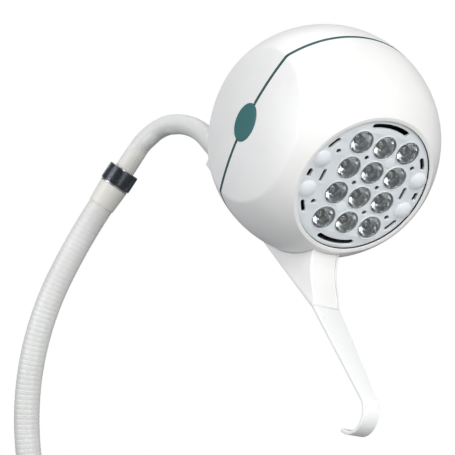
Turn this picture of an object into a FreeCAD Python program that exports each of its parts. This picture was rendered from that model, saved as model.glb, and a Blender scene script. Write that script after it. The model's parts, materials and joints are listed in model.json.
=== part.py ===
# Dental operating light: a ball-shaped LED head on a two-stage gooseneck.
#
# The origin is on the shoulder of the mounting spigot, +Z is up, and the lower
# gooseneck leans towards +X.  The arm is walked from that shoulder to
# the head as straights and arcs, so the head's place follows from the bends.
# Head parts are drawn in the head's own frame: x across the head, y up its
# back, z along the light.  All sizes are millimetres and degrees.

import FreeCAD, Part
import math
import os

from FreeCAD import Placement, Rotation
from FreeCAD import Vector as V

# ---------------------------------------------------------------- clearances
SLIP = 0.1            # between turned pieces that slip over each other
RUN = 0.08            # radial running fit of the swivel
GAP = 0.3             # between pieces that only pass each other
BORE_ROOM = 0.5       # core inside its sleeve

# ------------------------------------------------------ mounting spigot, base
SPIGOT_R = 8.0
SPIGOT_LENGTH = 45.0
SPIGOT_CHAMFER = 1.0
CABLE_BORE_R = 4.0
SPIGOT_TENON = 12.0
SPIGOT_TENON_R = 6.5
SPIGOT_SEAT = 2.0     # how far the spigot is let into the fitting
SPIGOT_ROOT_R = 7.6   # turned down there, so a socket's rim seats square
BASE_FLANGE = 3.5     # how far the flange stands out from the barrel
BASE_FLANGE_HEIGHT = 8.0
BASE_WALL = 3.5       # barrel round the sleeve
BASE_LIP = 1.5        # and at its thin upper end
BASE_HEIGHT = 52.0
BASE_TAPER_HEIGHT = 16.0
BASE_CORE_DEPTH = 38.0
BASE_SLEEVE_DEPTH = 26.0
GRUB_R = 2.0
GRUB_COUNT = 3

# ------------------------------------------------------------------ lower arm
LOWER_SLEEVE_R = 12.0
LOWER_SLEEVE_WALL = 1.8
LOWER_CORE_BORE_R = 5.0
LOWER_STRAIGHT = 60.0
LOWER_ARCS = [(520.0, -7.3), (302.0, 33.6), (628.0, 7.0)]   # radius, turn
LOWER_END = 32.0      # last straight, to the middle of the collar
LOWER_JOINTS = 6
LINK_GAP = 3.4        # between two core links, so that they can tip

# --------------------------------------------------------------------- collar
COLLAR_LENGTH = 18.0
COLLAR_STEP = 1.1     # nut round the ferrule
KNURL_COUNT = 60
KNURL_DEPTH = 0.35
COLLAR_CHAMFER = 0.9
FERRULE_LENGTH = 22.0
FERRULE_WALL = 1.9    # round the sleeve, at the ferrule's top
FERRULE_LIP = 0.5     # and at its thin lower end
FERRULE_SLEEVE_DEPTH = 10.0
COLLAR_BARREL = 0.4   # threaded barrel, over the sleeve's radius
COLLAR_FLANGE = 1.3
COLLAR_TENON = 10.0
WASHER = 0.8
SWIVEL_FLANGE_R = 11.0
NUT_SHOULDER = 2.5

# ------------------------------------------------------------------ upper arm
UPPER_SLEEVE_R = 9.25
UPPER_SLEEVE_WALL = 1.6
UPPER_CORE_BORE_R = 3.5
BOOT_R = 9.5
BOOT_TOP = 31.0       # end of the boot above the collar's middle
STEM_TOP = 20.0       # end of the steel stem inside the boot
UPPER_START = 31.5
UPPER_ARCS = [(42.0, 66.9), (88.5, 34.9)]
UPPER_END = 34.9
UPPER_JOINTS = 4
UPPER_SWIVEL = -50.4  # turn of the upper arm in the collar at rest
HEAD_ROLL = 107.7     # turn of the head about the upper arm's end

# ----------------------------------------------------------------- head shell
HEAD_R = 100.0
SHELL_WALL = 2.8
CHEEK_X = 83.5        # top of each flattened cheek
CHEEK_R = 260.0       # radius of the cheek's shallow dome
SEAM = 3.4            # gasket between the two shells
GASKET_DEPTH = 4.2
LIP_R = 64.8
LIP_WALL = 2.6
LEDGE_WIDTH = 4.5
LEDGE_THICK = 2.5
LIP_ROUND = 0.9
CHEEK_ROUND = 8.0

# ---------------------------------------------------------------- light panel
PANEL_RECESS = 1.85
PANEL_THICK = 2.5
LENS_PITCH = 24.3
LENS_SHIFT = 2.65
LENS_COLUMNS = 3
LENS_ROWS = 4
LENS_R = 10.0
LENS_PROUD = 0.5
LENS_DEPTH = 12.4
RING_WIDTH = 0.9
RING_HEIGHT = 0.4
VENT_R = 2.1
VENT_X = 39.0
CAP_X = 50.6
CAP_Y = 14.5
CAP_R = 8.5
CAP_HEIGHT = 2.7
PLUG_R = 5.3
SLOT_CIRCLE_R = 55.6
LONG_SLOT_TURN = 17.3
LONG_SLOT_WIDTH = 4.4
SHORT_SLOT_FROM = 28.5
SHORT_SLOT_TO = 37.5
SHORT_SLOT_WIDTH = 3.6
RIM_SLOT_X = 55.8
RIM_SLOT_WIDTH = 4.0
RIM_SLOT_LENGTH = 7.8
INNER_SLOT_X = 42.4
INNER_SLOT_WIDTH = 3.0
INNER_SLOT_LENGTH = 12.2

# ------------------------------------------------------------- light engine
LED_SIZE = 3.5
LED_HEIGHT = 0.8
LED_DOME_R = 1.3
BOARD_THICK = 1.6
BOARD_R = 54.5
SINK_BASE = 6.0
SINK_FINS = 11
SINK_FIN_THICK = 2.0
SINK_FIN_PITCH = 8.6
SINK_FIN_DEPTH = 32.0
PILLAR_R = 3.6
SCREW_R = 1.5
SCREW_HEAD_R = 2.9
SCREW_HEAD = 1.7

# ---------------------------------------------------------- chassis, driver
CHASSIS_THICK = 3.0
CHASSIS_HALF_X = 56.0
CHASSIS_HALF_Y = 47.0
CHASSIS_CORNER = 14.0
CHASSIS_WINDOW_X = 26.0
CHASSIS_WINDOW_Y = 18.0
FOOT_HALF_X = 9.0
FOOT_HALF_Z = 20.0
FOOT_SCREW_Z = 12.0
BOSS_X = 47.0
BOSS_Y = 38.0
BOSS_R = 5.0
SHELL_SCREW_R = 1.9
SHELL_SCREW_HEAD_R = 3.6
DRIVER_HALF_X = 34.0
DRIVER_HALF_Y = 30.0
DRIVER_STANDOFF = 11.0
DRIVER_STANDOFF_R = 3.0

# -------------------------------------------------------------------- buttons
BUTTON_HALF_Y = 16.9
BUTTON_HALF_Z = 14.0
BUTTON_PROUD = 0.5
BUTTON_TRAVEL = 2.0
BUTTON_FACE = 2.4
BUTTON_FLANGE = 2.0
BUTTON_FLANGE_RIM = 1.5
BUTTON_STEM_R = 2.6
BUTTON_STEM_LENGTH = 12.0
SWITCH_BODY = 4.0
SWITCH_HALF = 6.0
SWITCH_PLUNGER_R = 1.8
SWITCH_PLUNGER = 1.6
SWITCH_BOARD = 1.6
SWITCH_BOARD_HALF = 12.0
BRACKET = 2.0
BRACKET_HALF_Y = 10.0
BRACKET_REACH = 12.0
SPRING_WIRE_R = 0.45
SPRING_R = 4.2
SPRING_END_GAP = 0.2
SPRING_TURNS = 5
SPRING_STEPS = 16     # straight steps in one turn
MITRED = 1            # how a sweep turns its corners

# ------------------------------------------------------------- keel, handle
NECK_IN = 13.6        # the upper arm's axis, in from the ball's lowest point
NECK_BELOW = 11.4     # keel's rear face below and above that axis
NECK_ABOVE = 12.4
KEEL_BEHIND = 23.0    # rear face behind the ball
KEEL_WIDTH = 28.0
KEEL_TIP_AHEAD = 5.5  # tip in front of the ball, and below it
KEEL_TIP_BELOW = 5.4
KEEL_TIP_HEIGHT = 4.3
KEEL_CURVE = [(10.4, -7.5), (18.9, -19.5), (27.9, -28.5), (41.4, -34.5), (55.4, -37.0)]
KEEL_POCKET = 53.5
KEEL_WALL = 2.0
KEEL_ROUND = 1.2
COVER_THICK = 2.2
COVER_SINK = 0.9
RIB_IN = 8.0          # rib's top, in from the ball's lowest point
RIB_HALF_X = 10.0
RIB_HALF_Z = 30.0
SOCKET_R = 8.0
SOCKET_DEPTH = 30.0
SOCKET_SCREW_BACK = 12.0
HANDLE_THICK = 3.2
HANDLE_TANG = 2.0
HANDLE_TANG_LENGTH = 32.0
HANDLE_TANG_HALF_X = 9.5
HANDLE_ANGLE = 12.8
HANDLE_RUN = 103.0
HANDLE_END_WIDTH = 16.0
HOOK_R = 15.2
HOOK_TURN = 150.0
HOOK_TIP = 5.0
HANDLE_ROUND = 0.9

BIG = 400.0           # larger than anything in the head, for cutting blocks

# ============================================================ derived sizes
LOWER_CORE_R = LOWER_SLEEVE_R - LOWER_SLEEVE_WALL - BORE_ROOM
UPPER_CORE_R = UPPER_SLEEVE_R - UPPER_SLEEVE_WALL - BORE_ROOM
BASE_BARREL_R = LOWER_SLEEVE_R + BASE_WALL
BASE_TOP_R = LOWER_SLEEVE_R + BASE_LIP
BASE_FLANGE_R = BASE_BARREL_R + BASE_FLANGE
FERRULE_TOP_R = LOWER_SLEEVE_R + FERRULE_WALL
FERRULE_LOW_R = LOWER_SLEEVE_R + FERRULE_LIP
COLLAR_BARREL_R = LOWER_SLEEVE_R + COLLAR_BARREL
COLLAR_R = FERRULE_TOP_R + COLLAR_STEP
INNER_R = HEAD_R - SHELL_WALL
CHEEK_CENTRE = CHEEK_R - CHEEK_X
LIP_Z = math.sqrt(HEAD_R ** 2 - LIP_R ** 2)
OPENING_R = LIP_R - LIP_WALL - 0.9
PANEL_FRONT = LIP_Z - PANEL_RECESS
PANEL_BACK = PANEL_FRONT - PANEL_THICK
PANEL_R = OPENING_R - GAP
LENS_HOLE_R = LENS_R + 0.6
LENS_BACK = PANEL_FRONT + LENS_PROUD - LENS_DEPTH
BOARD_FRONT = LENS_BACK - LED_HEIGHT - 0.2
BOARD_BACK = BOARD_FRONT - BOARD_THICK
SINK_BACK = BOARD_BACK - SINK_BASE
CHASSIS_FRONT = CHASSIS_THICK / 2
NECK_Y = -(HEAD_R - NECK_IN)
KEEL_REAR_Z = -(HEAD_R + KEEL_BEHIND)
KEEL_REAR_LOW_Y = NECK_Y - NECK_BELOW
KEEL_REAR_TOP_Y = NECK_Y + NECK_ABOVE
KEEL_TIP_Z = HEAD_R + KEEL_TIP_AHEAD
KEEL_TIP_Y = -(HEAD_R + KEEL_TIP_BELOW)
KEEL_FRONT = [(KEEL_TIP_Y + y, KEEL_TIP_Z + z) for y, z in KEEL_CURVE]
RIB_TOP_Y = -(HEAD_R - RIB_IN)


# ======================================================== drawing the shapes
def turned(points):
    """A solid of revolution about Z from (radius, height) points."""
    corners = [V(r, 0, z) for r, z in points]
    outline = Part.makePolygon(corners + corners[:1])
    return Part.Face(outline).revolve(V(0, 0, 0), V(0, 0, 1), 360)


def ring(r_out, r_in, low, high):
    """A plain bush about Z."""
    return turned([(r_in, low), (r_out, low), (r_out, high), (r_in, high)])


def rod(radius, low, high, x=0.0, y=0.0):
    """A round bar along Z at (x, y)."""
    return Part.makeCylinder(radius, high - low, V(x, y, low))


def block(x0, x1, y0, y1, z0, z1):
    """A box between two corners."""
    return Part.makeBox(x1 - x0, y1 - y0, z1 - z0, V(x0, y0, z0))


def side_prism(points, width):
    """A (y, z) outline, as wide as width across the head's middle plane."""
    corners = [V(-width / 2, y, z) for y, z in points]
    outline = Part.makePolygon(corners + corners[:1])
    return Part.Face(outline).extrude(V(width, 0, 0))


def oval(half_y, half_z, x0, x1):
    """An oval bar along X, from x0 to x1."""
    long_axis, short_axis = max(half_y, half_z), min(half_y, half_z)
    curve = Part.Ellipse(V(0, 0, 0), long_axis, short_axis)
    face = Part.Face(Part.Wire(curve.toShape()))
    to_x = V(0, 1, 0) if half_y >= half_z else V(0, 0, 1)
    turn = Rotation(to_x, V(0, 0, 0), V(1, 0, 0), "XZY")
    face.Placement = Placement(V(min(x0, x1), 0, 0), turn)
    return face.extrude(V(abs(x1 - x0), 0, 0))


def slot(width, length, low, high):
    """A round-ended slot along Y, of full length given, through Z."""
    half = (length - width) / 2
    bar = block(-width / 2, width / 2, -half, half, low, high)
    ends = [rod(width / 2, low, high, 0, -half), rod(width / 2, low, high, 0, half)]
    return bar.fuse(ends).removeSplitter()


def arc_slot(radius, width, centre, half_turn, low, high):
    """A slot along a circle about Z; angles are from +X."""
    inner, outer = radius - width / 2, radius + width / 2
    face = Part.makePolygon([V(inner, 0, low), V(outer, 0, low), V(outer, 0, high),
                             V(inner, 0, high), V(inner, 0, low)])
    body = Part.Face(face).revolve(V(0, 0, 0), V(0, 0, 1), 2 * half_turn)
    tips = [rod(width / 2, low, high, radius, 0)]
    end = math.radians(2 * half_turn)
    tips.append(rod(width / 2, low, high, radius * math.cos(end), radius * math.sin(end)))
    cut = body.fuse(tips).removeSplitter()
    cut.rotate(V(0, 0, 0), V(0, 0, 1), centre - half_turn)
    return cut


def group(solids):
    """Separate identical solids that share one node."""
    return Part.makeCompound(solids)


def joined(shape, *others):
    """Solids fused into one."""
    return shape.fuse(list(others)).removeSplitter()


def without(shape, *others):
    """A solid with others cut out of it."""
    return shape.cut(list(others))


def mirrored_x(shape):
    """The same piece on the other cheek."""
    return shape.mirror(V(0, 0, 0), V(1, 0, 0))


def pair(shape):
    """The piece on the left cheek together with its mirror image."""
    return group([shape, mirrored_x(shape)])


# ============================================================ walking the arm
def step(radius, turn):
    """The move along one stretch: a straight has no radius, only a length."""
    if radius is None:
        return Placement(V(0, 0, turn), Rotation())
    angle = math.radians(turn)
    side = math.copysign(radius, turn)
    move = V(side * (1 - math.cos(angle)), 0, radius * math.sin(abs(angle)))
    return Placement(move, Rotation(V(0, 1, 0), turn))


def stretch_length(radius, turn):
    """The length of one stretch."""
    return turn if radius is None else radius * math.radians(abs(turn))


def part_of(radius, turn, length):
    """The first part of a stretch, of the length given."""
    if radius is None:
        return None, length
    return radius, math.copysign(math.degrees(length / radius), turn)


def arm_length(stretches):
    return sum(stretch_length(*s) for s in stretches)


def arm_frame(start, stretches, distance):
    """The frame at a distance along the arm: +Z runs along it."""
    frame = start
    for stretch in stretches:
        length = stretch_length(*stretch)
        if distance <= length:
            return frame.multiply(step(*part_of(*stretch, distance)))
        frame = frame.multiply(step(*stretch))
        distance -= length
    return frame.multiply(step(None, distance))


def bent_tube(start, stretches, low, high, r_out, r_in):
    """A tube that follows the arm between two distances along it."""
    pieces = []
    begin = 0.0
    for radius, turn in stretches:
        end = begin + stretch_length(radius, turn)
        first, last = max(low, begin), min(high, end)
        if last - first > 1e-6:
            frame = arm_frame(start, stretches, first)
            pieces.append(tube_piece(frame, *part_of(radius, turn, last - first), r_out, r_in))
        begin = end
    return joined(*pieces) if len(pieces) > 1 else pieces[0]


def tube_piece(frame, radius, turn, r_out, r_in):
    """One straight or arc of a tube, from the frame given."""
    outer = Part.Face(Part.Wire(Part.makeCircle(r_out)))
    inner = Part.Face(Part.Wire(Part.makeCircle(r_in)))
    face = outer.cut(inner).Faces[0]
    if radius is None:
        piece = face.extrude(V(0, 0, turn))
    else:
        side = math.copysign(radius, turn)
        piece = face.revolve(V(side, 0, 0), V(0, 1, 0), turn)
    piece.Placement = frame.multiply(piece.Placement)
    return piece


LOWER = [(None, LOWER_STRAIGHT)] + LOWER_ARCS + [(None, LOWER_END)]
UPPER = [(None, UPPER_START)] + UPPER_ARCS + [(None, UPPER_END)]
BASE = Placement()
COLLAR = arm_frame(BASE, LOWER, arm_length(LOWER))
SWIVEL = COLLAR.multiply(Placement(V(0, 0, 0), Rotation(V(0, 0, 1), UPPER_SWIVEL)))
ARM_END = arm_frame(SWIVEL, UPPER, arm_length(UPPER))
HEAD = ARM_END.multiply(Placement(V(0, 0, 0), Rotation(V(0, 0, 1), HEAD_ROLL)))
HEAD = HEAD.multiply(Placement(V(0, -NECK_Y, -KEEL_REAR_Z), Rotation()))


def joint_places(first, last, count):
    """Distances of the joints along an arm, evenly spaced between two ends."""
    pitch = (last - first) / count
    return [first + pitch * (i + 0.5) for i in range(count)]


LOWER_TOP = arm_length(LOWER) - COLLAR_LENGTH / 2 - FERRULE_LENGTH
LOWER_PLACES = joint_places(BASE_HEIGHT, LOWER_TOP, LOWER_JOINTS)
UPPER_PLACES = joint_places(BOOT_TOP, arm_length(UPPER), UPPER_JOINTS)


# ================================================================== lower arm
def mount_spigot():
    low = -SPIGOT_LENGTH
    outline = [(CABLE_BORE_R, low), (SPIGOT_R - SPIGOT_CHAMFER, low),
               (SPIGOT_R, low + SPIGOT_CHAMFER), (SPIGOT_R, 0),
               (SPIGOT_ROOT_R, 0), (SPIGOT_ROOT_R, SPIGOT_SEAT),
               (SPIGOT_TENON_R, SPIGOT_SEAT),
               (SPIGOT_TENON_R, SPIGOT_TENON), (CABLE_BORE_R, SPIGOT_TENON)]
    return turned(outline)


def base_fitting():
    sleeve_floor = BASE_HEIGHT - BASE_SLEEVE_DEPTH
    core_floor = BASE_HEIGHT - BASE_CORE_DEPTH
    sleeve_bore = LOWER_SLEEVE_R + SLIP
    core_bore = LOWER_CORE_R + SLIP
    seat_r = SPIGOT_R + SLIP
    outline = [(seat_r, 0), (BASE_FLANGE_R - 1, 0), (BASE_FLANGE_R, 1),
               (BASE_FLANGE_R, BASE_FLANGE_HEIGHT - 1.5),
               (BASE_FLANGE_R - 1.5, BASE_FLANGE_HEIGHT),
               (BASE_BARREL_R, BASE_FLANGE_HEIGHT),
               (BASE_BARREL_R, BASE_HEIGHT - BASE_TAPER_HEIGHT),
               (BASE_TOP_R, BASE_HEIGHT), (sleeve_bore, BASE_HEIGHT),
               (sleeve_bore, sleeve_floor), (core_bore, sleeve_floor),
               (core_bore, core_floor), (LOWER_CORE_BORE_R, core_floor),
               (LOWER_CORE_BORE_R, SPIGOT_TENON), (SPIGOT_TENON_R, SPIGOT_TENON),
               (SPIGOT_TENON_R, SPIGOT_SEAT), (seat_r, SPIGOT_SEAT)]
    body = turned(outline)
    return without(body, *[grub_hole(i) for i in range(GRUB_COUNT)])


def grub_height():
    core_floor = BASE_HEIGHT - BASE_CORE_DEPTH
    return core_floor + (BASE_CORE_DEPTH - BASE_SLEEVE_DEPTH) / 2


def radial_rod(radius, r_from, r_to, height, angle):
    """A round bar that points outwards from the Z axis."""
    bar = Part.makeCylinder(radius, r_to - r_from, V(r_from, 0, height), V(1, 0, 0))
    bar.rotate(V(0, 0, 0), V(0, 0, 1), angle)
    return bar


def grub_hole(i):
    return radial_rod(GRUB_R, 0, BASE_FLANGE_R, grub_height(), 60 + 120 * i)


def base_grub_screws():
    screws = []
    for i in range(GRUB_COUNT):
        angle = 60 + 120 * i
        high = BASE_BARREL_R - 0.6
        screw = radial_rod(GRUB_R, LOWER_CORE_R, high, grub_height(), angle)
        key = radial_rod(GRUB_R / 2, high - 1.5, high, grub_height(), angle)
        screws.append(screw.cut(key))
    return group(screws)


def core_links(start, stretches, places, low, high, r_out, r_in):
    """The core cut at the joints, with a gap at each for the bend."""
    ends = [low] + [p for place in places for p in (place - LINK_GAP / 2, place + LINK_GAP / 2)]
    ends.append(high)
    links = []
    for first, last in zip(ends[::2], ends[1::2]):
        links.append(bent_tube(start, stretches, first, last, r_out, r_in))
    return links


def lower_cores():
    low = BASE_HEIGHT - BASE_CORE_DEPTH
    high = arm_length(LOWER) - COLLAR_LENGTH / 2 - COLLAR_TENON - COLLAR_FLANGE
    return core_links(BASE, LOWER, LOWER_PLACES, low, high, LOWER_CORE_R, LOWER_CORE_BORE_R)


def lower_sleeve():
    low = BASE_HEIGHT - BASE_SLEEVE_DEPTH
    high = LOWER_TOP + FERRULE_SLEEVE_DEPTH - GAP
    bore = LOWER_SLEEVE_R - LOWER_SLEEVE_WALL
    return bent_tube(BASE, LOWER, low, high, LOWER_SLEEVE_R, bore)


# ============================== collar: heights are from the collar's middle
FERRULE_TOP = -COLLAR_LENGTH / 2 - GAP
FLANGE_TOP = FERRULE_TOP + COLLAR_FLANGE
WASHER_LOW = 3.0
SWIVEL_LOW = WASHER_LOW + WASHER + SLIP
NUT_TOP = COLLAR_LENGTH / 2
NUT_LOW = FLANGE_TOP + GAP
NUT_FLOOR = NUT_TOP - NUT_SHOULDER


def collar_ferrule():
    low = -COLLAR_LENGTH / 2 - FERRULE_LENGTH
    step_z = low + FERRULE_SLEEVE_DEPTH
    sleeve_bore = LOWER_SLEEVE_R + SLIP
    core_bore = LOWER_CORE_R + SLIP
    outline = [(sleeve_bore, low), (FERRULE_LOW_R, low), (FERRULE_LOW_R + 0.35, low + 1.5),
               (FERRULE_TOP_R - 0.3, FERRULE_TOP - 5), (FERRULE_TOP_R, FERRULE_TOP),
               (core_bore, FERRULE_TOP), (core_bore, step_z), (sleeve_bore, step_z)]
    return turned(outline)


def collar_body():
    tenon_low = FERRULE_TOP - COLLAR_TENON
    outline = [(LOWER_CORE_BORE_R, tenon_low), (LOWER_CORE_R, tenon_low),
               (LOWER_CORE_R, FERRULE_TOP), (FERRULE_TOP_R, FERRULE_TOP),
               (FERRULE_TOP_R, FLANGE_TOP), (COLLAR_BARREL_R, FLANGE_TOP),
               (COLLAR_BARREL_R, WASHER_LOW), (LOWER_CORE_BORE_R, WASHER_LOW)]
    return turned(outline)


def collar_nut():
    teeth = []
    for i in range(2 * KNURL_COUNT):
        angle = math.pi * i / KNURL_COUNT
        radius = COLLAR_R if i % 2 else COLLAR_R - KNURL_DEPTH
        teeth.append(V(radius * math.cos(angle), radius * math.sin(angle), NUT_LOW))
    barrel = Part.Face(Part.makePolygon(teeth + teeth[:1])).extrude(V(0, 0, NUT_TOP - NUT_LOW))
    c = COLLAR_CHAMFER
    trim = turned([(0, NUT_LOW), (COLLAR_R - c / 2, NUT_LOW), (COLLAR_R + c, NUT_LOW + 1.5 * c),
                   (COLLAR_R + c, NUT_TOP - 2 * c), (COLLAR_R - c, NUT_TOP), (0, NUT_TOP)])
    thread = rod(COLLAR_BARREL_R + SLIP, NUT_LOW - 1, WASHER_LOW + GAP)
    chamber = rod(SWIVEL_FLANGE_R + GAP, WASHER_LOW, NUT_FLOOR)
    mouth = rod(BOOT_R + GAP, NUT_FLOOR - 1, NUT_TOP + 1)
    return without(barrel.common(trim), thread, chamber, mouth)


def lower_washer():
    return ring(SWIVEL_FLANGE_R, LOWER_CORE_BORE_R + 1, WASHER_LOW, WASHER_LOW + WASHER)


def upper_washer():
    return ring(SWIVEL_FLANGE_R, BOOT_R + GAP, NUT_FLOOR - WASHER, NUT_FLOOR)


def swivel_stem():
    outline = [(UPPER_CORE_BORE_R, SWIVEL_LOW), (SWIVEL_FLANGE_R - RUN, SWIVEL_LOW),
               (SWIVEL_FLANGE_R - RUN, NUT_FLOOR - WASHER - SLIP),
               (UPPER_CORE_R, NUT_FLOOR - WASHER - SLIP), (UPPER_CORE_R, STEM_TOP),
               (UPPER_CORE_BORE_R, STEM_TOP)]
    return turned(outline)


def swivel_boot():
    low = NUT_FLOOR - WASHER - SLIP
    bore = UPPER_CORE_R + SLIP
    outline = [(bore, low), (BOOT_R, low), (BOOT_R, NUT_TOP + 8),
               (UPPER_SLEEVE_R + 0.1, BOOT_TOP), (bore, BOOT_TOP)]
    return turned(outline)


# ================================================================== upper arm
def upper_cores():
    return core_links(SWIVEL, UPPER, UPPER_PLACES, STEM_TOP, arm_length(UPPER),
                      UPPER_CORE_R, UPPER_CORE_BORE_R)


def upper_sleeve():
    bore = UPPER_SLEEVE_R - UPPER_SLEEVE_WALL
    high = arm_length(UPPER) - GAP
    return bent_tube(SWIVEL, UPPER, BOOT_TOP, high, UPPER_SLEEVE_R, bore)


# ============================================================ the head's form
def head_form(inset):
    """The ball with its two flattened cheeks, shrunk by inset."""
    ball, cheek, soft = HEAD_R - inset, CHEEK_R - inset, CHEEK_ROUND - inset
    near, far = ball - soft, cheek - soft
    x = (near ** 2 - far ** 2 + CHEEK_CENTRE ** 2) / (2 * CHEEK_CENTRE)
    rim = V(-x, 0, math.sqrt(near ** 2 - x ** 2))
    centre = V(-CHEEK_CENTRE, 0, 0)
    on_ball = rim + V(rim).normalize() * soft
    outward = (rim - centre).normalize()
    on_cheek = rim + outward * soft
    corner = rim + (V(rim).normalize() + outward).normalize() * soft
    half_angle = math.atan2(on_cheek.z, on_cheek.x - centre.x) / 2
    on_dome = centre + V(math.cos(half_angle), 0, math.sin(half_angle)) * cheek
    dome = [centre + V(cheek, 0, 0), on_dome, on_cheek]
    blend = [on_cheek, corner, on_ball]
    across = [on_ball, V(0, 0, ball), V(-on_ball.x, 0, on_ball.z)]

    def flipped(points):
        return [V(-p.x, 0, p.z) for p in points[::-1]]

    arcs = [dome, blend, across, flipped(blend), flipped(dome)]
    edges = [Part.Arc(*points).toShape() for points in arcs]
    edges.append(Part.LineSegment(arcs[-1][-1], arcs[0][0]).toShape())
    return Part.Face(Part.Wire(edges)).revolve(V(0, 0, 0), V(1, 0, 0), 360)


def keel_slot():
    """The way through both shells for the keel's rib."""
    x, z = RIB_HALF_X + GAP, RIB_HALF_Z + GAP
    return block(-x, x, -HEAD_R - 5, RIB_TOP_Y + SHELL_WALL, -z, z)


def button_way(side):
    half_y, half_z = BUTTON_HALF_Y + GAP, BUTTON_HALF_Z + GAP
    return oval(half_y, half_z, side * (CHEEK_X - 12), side * (HEAD_R + 5))


def boss_places():
    return [(sx * BOSS_X, sy * BOSS_Y) for sx in (-1, 1) for sy in (-1, 1)]


def front_shell():
    front = head_form(0).common(block(-BIG, BIG, -BIG, BIG, SEAM / 2, LIP_Z))
    front = front.makeFillet(LIP_ROUND, lip_edges(front))
    ledge_low = PANEL_BACK - LEDGE_THICK
    room = head_form(SHELL_WALL).common(block(-BIG, BIG, -BIG, BIG, -1, ledge_low))
    throat = rod(OPENING_R - LEDGE_WIDTH, ledge_low - 1, LIP_Z + 1)
    mouth = rod(OPENING_R, PANEL_BACK, LIP_Z + 1)
    body = front.cut(room).cut(throat).cut(mouth)
    for x, y in boss_places():
        body = joined(body, rod(BOSS_R, CHASSIS_FRONT, ledge_low + 0.5, x, y))
    cuts = [rod(SHELL_SCREW_R - 0.2, 0, shell_screw_tip() + 1, x, y) for x, y in boss_places()]
    return without(body, keel_slot(), button_way(-1), button_way(1), *cuts)


def lip_edges(shape):
    """The rim where the ball meets the flat front of the lip."""
    return [e for e in shape.Edges if abs(e.BoundBox.ZMin - LIP_Z) < 0.01]


def shell_screw_tip():
    """How far forward the shell screws reach."""
    return CHASSIS_FRONT + 16


def rear_shell():
    skin = head_form(0).cut(head_form(SHELL_WALL))
    body = skin.common(block(-BIG, BIG, -BIG, BIG, -BIG, -SEAM / 2))
    for x, y in boss_places():
        boss = rod(BOSS_R, -HEAD_R, -CHASSIS_FRONT, x, y).common(head_form(SHELL_WALL / 2))
        body = joined(body, boss)
    cuts = [keel_slot(), button_way(-1), button_way(1)]
    for x, y in boss_places():
        cuts.append(rod(SHELL_SCREW_R + SLIP, -HEAD_R, 0, x, y))
        cuts.append(rod(SHELL_SCREW_HEAD_R + SLIP, -HEAD_R, shell_head_z(), x, y))
    return without(body, *cuts)


def shell_head_z():
    """The floor of each counterbore in the rear shell."""
    return -math.sqrt(INNER_R ** 2 - BOSS_X ** 2 - BOSS_Y ** 2) + 6


def shell_screws():
    screws = []
    for x, y in boss_places():
        z = shell_head_z()
        head = rod(SHELL_SCREW_HEAD_R, z - 3, z, x, y)
        shank = rod(SHELL_SCREW_R - 0.2, z, shell_screw_tip(), x, y)
        drive = rod(SHELL_SCREW_R / 2, z - 3, z - 1.2, x, y)
        screws.append(joined(head, shank).cut(drive))
    return group(screws)


def seam_gasket():
    band = block(-BIG, BIG, -BIG, BIG, -SEAM / 2, SEAM / 2)
    strip = head_form(0).cut(head_form(GASKET_DEPTH)).common(band)
    rooms = [flange_room(-1), flange_room(1)]
    return without(strip, keel_slot(), button_way(-1), button_way(1), *rooms)


# ================================================================ light panel
def lens_places():
    places = []
    for i in range(LENS_COLUMNS):
        for j in range(LENS_ROWS):
            x = (i - (LENS_COLUMNS - 1) / 2) * LENS_PITCH + LENS_SHIFT
            y = (j - (LENS_ROWS - 1) / 2) * LENS_PITCH
            places.append((x, y))
    return places


def between_lenses():
    """The middles of the squares between four lenses, left column first."""
    left = LENS_SHIFT - LENS_PITCH / 2
    return [(left + LENS_PITCH * i, LENS_PITCH * (j - 1)) for i in (0, 1) for j in (0, 1, 2)]


def plug_places():
    """The two squares that hold a blind plug instead of a vent hole."""
    squares = between_lenses()
    return [squares[0], squares[-1]]


def vent_places():
    inner = [p for p in between_lenses() if p not in plug_places()]
    return inner + [(sx * VENT_X, sy * LENS_PITCH) for sx in (-1, 1) for sy in (-1, 1)]


def cap_places():
    return [(sx * CAP_X, sy * CAP_Y) for sx in (-1, 1) for sy in (-1, 1)]


def panel_slots(low, high):
    slots = []
    for centre in (90, 270):
        slots.append(arc_slot(SLOT_CIRCLE_R, LONG_SLOT_WIDTH, centre, LONG_SLOT_TURN, low, high))
    half = (SHORT_SLOT_TO - SHORT_SLOT_FROM) / 2
    middle = SHORT_SLOT_FROM + half
    for centre in (middle, 180 - middle, 180 + middle, 360 - middle):
        slots.append(arc_slot(SLOT_CIRCLE_R, SHORT_SLOT_WIDTH, centre, half, low, high))
    for side in (-1, 1):
        rim = slot(RIM_SLOT_WIDTH, RIM_SLOT_LENGTH, low, high)
        rim.translate(V(side * RIM_SLOT_X, 0, 0))
        inner = slot(INNER_SLOT_WIDTH, INNER_SLOT_LENGTH, low, high)
        inner.translate(V(side * INNER_SLOT_X, 0, 0))
        slots += [rim, inner]
    return slots


def lens_panel():
    low, high = PANEL_BACK - 1, PANEL_FRONT + 2
    disc = turned([(0, PANEL_BACK), (PANEL_R, PANEL_BACK), (PANEL_R, PANEL_FRONT - 0.4),
                   (PANEL_R - 0.4, PANEL_FRONT), (0, PANEL_FRONT)])
    rings = [rod(LENS_HOLE_R + RING_WIDTH, PANEL_FRONT, PANEL_FRONT + RING_HEIGHT, x, y)
             for x, y in lens_places()]
    panel = joined(disc, *rings)
    holes = [rod(LENS_HOLE_R, low, high, x, y) for x, y in lens_places()]
    holes += [rod(VENT_R, low, high, x, y) for x, y in vent_places()]
    holes += [rod(PLUG_R + SLIP, low, high, x, y) for x, y in plug_places()]
    holes += [rod(SCREW_R + SLIP, low, high, x, y) for x, y in cap_places()]
    return without(panel, *(holes + panel_slots(low, high)))


def copies(shape, places):
    """One piece repeated at several (x, y) places."""
    solids = []
    for x, y in places:
        one = shape.copy()
        one.translate(V(x, y, 0))
        solids.append(one)
    return group(solids)


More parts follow.
